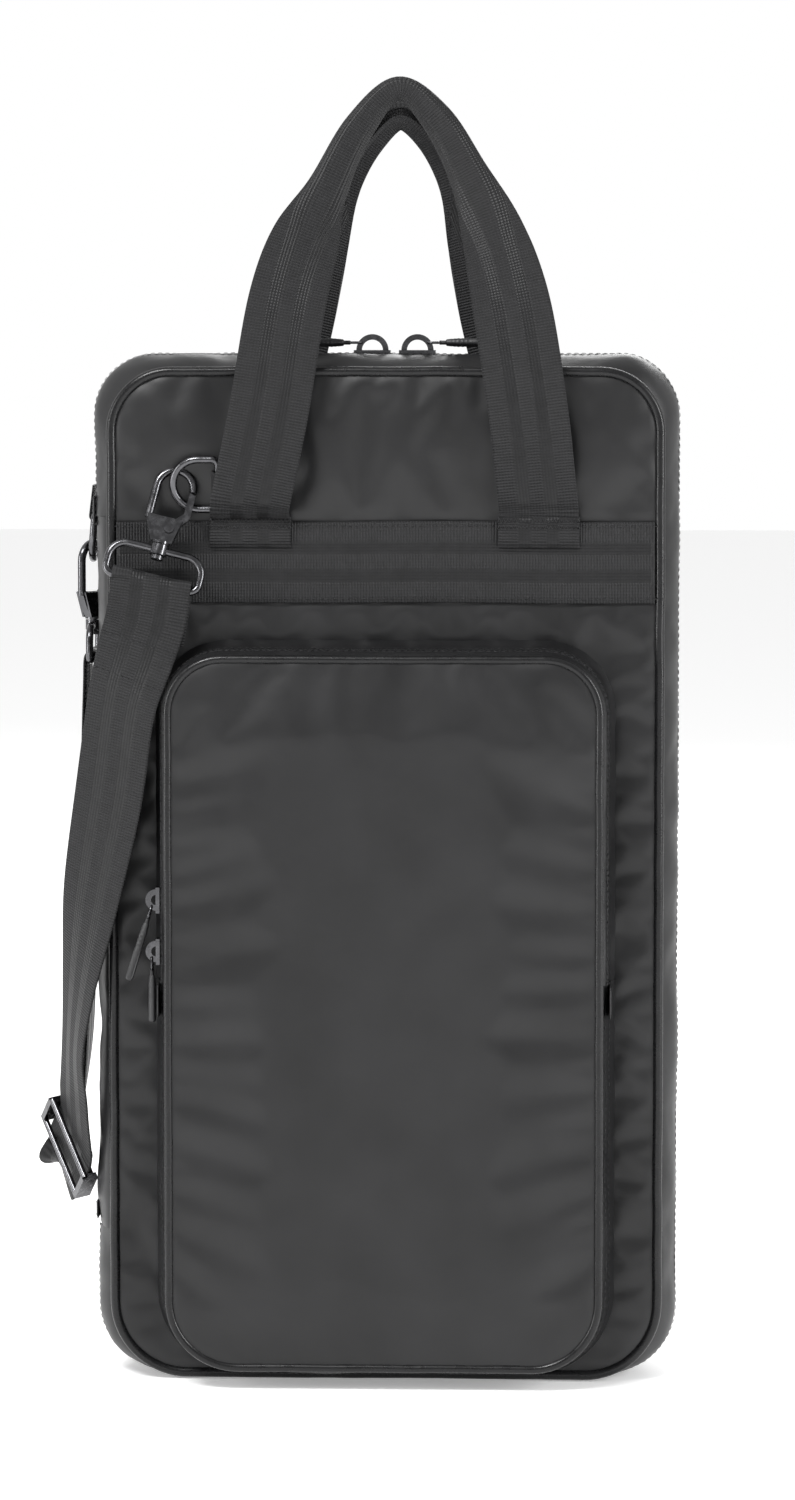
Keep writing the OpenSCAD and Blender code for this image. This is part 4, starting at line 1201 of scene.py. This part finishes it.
def rubber_sleeve(name, start, direction, length, radius, body, flat=0.8):
    """The moulded cord end of a pull: ribbed near the link, squared off at its end."""
    start, direction = Vector(start), Vector(direction).normalized()
    side = direction.cross(Vector((0.3, 0.5, 0.8))).normalized()
    up = direction.cross(side)
    rings = []
    stations = 46
    for k in range(stations + 1):
        t = k / stations
        grow = 0.72 + 0.28 * min(1, t * 5)
        if 0.12 < t < 0.5:
            grow *= 1 - 0.09 * (0.5 + 0.5 * math.cos((t - 0.12) / 0.38 * 2 * math.pi * 5))
        if t > 0.94:
            grow *= 1 - 0.35 * ((t - 0.94) / 0.06) ** 2
        if t < 0.02:
            grow *= 0.6
        rings.append((t, grow))
    sides = 20
    verts = []
    for t, grow in rings:
        for k in range(sides):
            a = 2 * math.pi * k / sides
            c, s = math.cos(a), math.sin(a)
            x = math.copysign(abs(c) ** 0.7, c) * radius * grow
            y = math.copysign(abs(s) ** 0.7, s) * radius * grow * flat
            verts.append(start + direction * length * t + side * x + up * y)
    faces = loft_faces(len(rings), sides, True)
    faces.append(tuple(range(sides))[::-1])
    faces.append(tuple((len(rings) - 1) * sides + k for k in range(sides)))
    obj = make_mesh(name, verts, faces, RUBBER)
    fix_normals(obj)
    return finish_piece(obj, body)


def pull_link(name, pin, pin_axis, direction, body, node):
    """A bent wire link through the slider's bridge, with the cord's eye round its far end."""
    pin, axis, direction = Vector(pin), Vector(pin_axis).normalized(), Vector(direction).normalized()
    half, reach = 2.2 * MM, 5 * MM
    path = [pin + axis * half, pin + axis * half + direction * reach * 0.8]
    for k in range(1, 8):
        a = math.pi * k / 8
        path.append(pin + axis * half * math.cos(a) + direction * (reach * 0.8 + half * 0.7 * math.sin(a)))
    path += [pin - axis * half + direction * reach * 0.8, pin - axis * half]
    path = catmull([tuple(p) for p in path], 3)
    path = np.vstack([path, path[:1]])
    obj = tube(name, path, 0.65 * MM, METAL, 10)
    finish_piece(obj, body, [node])


def zip_pull(name, pin, direction, length, radius):
    pull_link(name + "_link", pin, (0, 1, 0), direction, name, name)
    direction = Vector(direction).normalized()
    neck = [Vector(pin) + direction * d * MM for d in (5.2, 6.5, 8, 9.5)]
    cord = tube(name + "_neck", [tuple(p) for p in neck], 1.0 * MM, RUBBER, 10)
    finish_piece(cord, name)
    start = Vector(pin) + direction * 8 * MM
    rubber_sleeve(name + "_sleeve", start, direction, length * MM, radius * MM, name)


def build_pulls():
    top = BODY_TOP - 0.5 * MM
    pin_x, pin_z = 5.08 * MM, 5.66 * MM
    zip_pull("main_pull_left", (-7 * MM - pin_x, ZIP_Y, top + pin_z), (-1, 0, 0), 26, 2.2)
    zip_pull("main_pull_right", (14 * MM + pin_x, ZIP_Y, top + pin_z), (1, 0, 0), 26, 2.2)
    x = -POCKET_BASE_HW + 0.4 * MM - 4.22 * MM
    zip_pull("pocket_pull_upper", (x, CHAIN_Y, 224.97 * MM), (-0.28, -0.25, -0.927), 28, 1.8)
    zip_pull("pocket_pull_lower", (x, CHAIN_Y, 200.97 * MM), (0, 0, -1), 22, 1.8)


build_pulls()


# ---------------------------------------------------------------- inside

def liner(name, node, y, side, body, seed):
    """Quilted-soft lining sheet over its foam."""
    face = Rim(high(node).x, low(node).z, high(node).z, R_TOP - 6 * MM, R_BOTTOM - 6 * MM, (0.2,))
    x, z, faces = panel_grid(face, 0.5 * MM, 5 * MM)
    depth = face.distance(x, z, 0.5 * MM)
    points = np.column_stack([x, np.full(len(x), y), z])
    swell = np.clip(depth / (12 * MM), 0, 1) ** 0.6
    points[:, 1] += side * (swell * 0.3 * MM + swell * wobble(points, 18, seed) * 0.35 * MM)
    if side > 0:
        faces = [f[::-1] for f in faces]
    obj = subdivide(make_mesh(name, points, faces, LINING))
    finish_piece(obj, body, [node])
    return obj


def foam_pad(name, node, body):
    """The foam slab between a panel and its lining, with softened edges."""
    a, b = low(node), high(node)
    rim = Rim(b.x, a.z, b.z, R_TOP - 6 * MM, R_BOTTOM - 6 * MM, (0.2,), step=6 * MM)
    rows = []
    for t, inset in ((0.06, 1.8), (0.16, 0.6), (0.5, 0.2), (0.84, 0.6), (0.94, 1.8)):
        points, _ = rim.walk(inset * MM, inset * MM, inset * MM)
        rows.append(to_3d(points, a.y + (b.y - a.y) * t))
    count = len(rows[0])
    faces = loft_faces(len(rows), count, True)
    faces += [tuple(range(count))[::-1], tuple((len(rows) - 1) * count + k for k in range(count))]
    obj = make_mesh(name, np.concatenate(rows), faces, FOAM)
    fix_normals(obj)
    finish_piece(obj, body, [node])


def sewn_pocket(name, centre, half_width, half_depth, z0, z1, wall, square, seed, body, nodes=()):
    """An open-topped cloth pocket: its walls run up the outside, over the hem and down the inside."""
    sides, steps = 56, 34
    verts = []
    profile = [(k / steps, 0.0) for k in range(steps + 1)]
    profile += [(1 - k / steps * 0.995, wall) for k in range(steps + 1)]
    for t, inset in profile:
        z = z0 + (z1 - z0) * t + (wall if inset and t < 0.01 else 0)
        for k in range(sides):
            a = 2 * math.pi * k / sides
            u = math.copysign(abs(math.cos(a)) ** square[0], math.cos(a))
            v = math.copysign(abs(math.sin(a)) ** square[1], math.sin(a))
            foot = 1 - 0.55 * (1 - min(1, t * 14)) ** 2
            x = centre[0] + (half_width - inset) * u
            point = Vector((x, centre[1] + (half_depth * foot - inset) * v, z))
            soft = noise.fractal(Vector((point.x, 0, point.z)) * 30 + Vector((seed, 0, 0)), 1.0, 2.0, 2)
            point.y = centre[1] + (point.y - centre[1]) * (0.9 + 0.1 * soft * min(1, (1 - t) * 8))
            verts.append(point)
    rows = len(profile)
    faces = loft_faces(rows, sides, True)
    faces += [tuple(range(sides))[::-1], tuple((rows - 1) * sides + k for k in range(sides))]
    obj = make_mesh(name, verts, faces, LINING)
    fix_normals(obj)
    return finish_piece(obj, body, nodes)


def build_sleeves():
    a, b = low("stick_sleeves"), high("stick_sleeves")
    width = (b.x - a.x) / 4
    middle, half_depth = (a.y + b.y) / 2, (b.y - a.y) / 2
    for i in range(4):
        x = a.x + width * (i + 0.5)
        sewn_pocket("stick_sleeve_%d" % (i + 1), (x, middle), width / 2, half_depth, a.z, b.z, 1.1 * MM,
                    (0.5, 0.62), i * 5, "back_half", ["stick_sleeves"] if i == 0 else ())
    c, d = low("sleeve_binding"), high("sleeve_binding")
    count = 160
    x = np.linspace(c.x, d.x, count)
    wave = np.abs(np.sin((x - a.x) / width * math.pi)) ** 0.45
    y = a.y + 0.9 * half_depth * (1 - wave) + 0.15 * half_depth - 0.9 * MM - 0.1 * half_depth * wave
    centres = np.column_stack([x, y, np.full(count, (c.z + d.z) / 2)])
    band, _, _, _ = ribbon("sleeve_binding_elastic", centres, np.tile([0, 0, 1.0], (count, 1)),
                           np.full(count, (d.z - c.z) / 2 - 0.2 * MM), np.full(count, 0.45 * MM), TAPE)
    finish_piece(band, "back_half", ["sleeve_binding"])
    for edge in (-1, 1):
        path = centres + np.array([0, -0.45 * MM, edge * ((d.z - c.z) / 2 - 2 * MM)])
        stitch_row("binding_stitches_%d" % (edge + 1), path, np.tile([0, -1.0, 0], (count, 1)), "back_half",
                   pitch=3.2 * MM, length=2.2 * MM, width=0.4 * MM)


def build_mallet_pocket():
    a, b = low("mallet_pocket"), high("mallet_pocket")
    sewn_pocket("mallet_pocket_cloth", (0, (a.y + b.y) / 2), b.x, (b.y - a.y) / 2, a.z, b.z, 0.9 * MM,
                (0.16, 0.5), 40, "front_half", ["mallet_pocket"])
    x = np.linspace(a.x + 3 * MM, b.x - 3 * MM, 60)
    path = np.column_stack([x, np.full(60, b.y - 0.5 * MM), np.full(60, b.z - 9 * MM)])
    stitch_row("mallet_pocket_hem_stitches", path, np.tile([0, 1.0, 0], (60, 1)), "front_half",
               pitch=3.2 * MM, length=2.2 * MM, width=0.4 * MM)


def build_inside():
    foam_pad("front_foam_pad", "front_foam", "front_half")
    foam_pad("back_foam_pad", "back_foam", "back_half")
    build_sleeves()
    build_mallet_pocket()
    liner("front_lining_cloth", "front_lining", high("front_lining").y, 1, "front_half", 51)
    liner("back_lining_cloth", "back_lining", low("back_lining").y, -1, "back_half", 57)


build_inside()


# ---------------------------------------------------------------- pieces kept from the frame

KEPT = ["strap_glide", "strap_loop_a", "strap_loop_b", "hook_body_a", "hook_body_b", "hook_rivet_a",
        "hook_rivet_b", "hook_gate_a", "hook_gate_b", "front_d_ring", "spine_d_ring", "main_slider_left",
        "main_slider_right", "pocket_slider_upper", "pocket_slider_lower"]
for kept_name in KEPT:
    for material_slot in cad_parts[kept_name].material_slots:
        material_slot.material = METAL
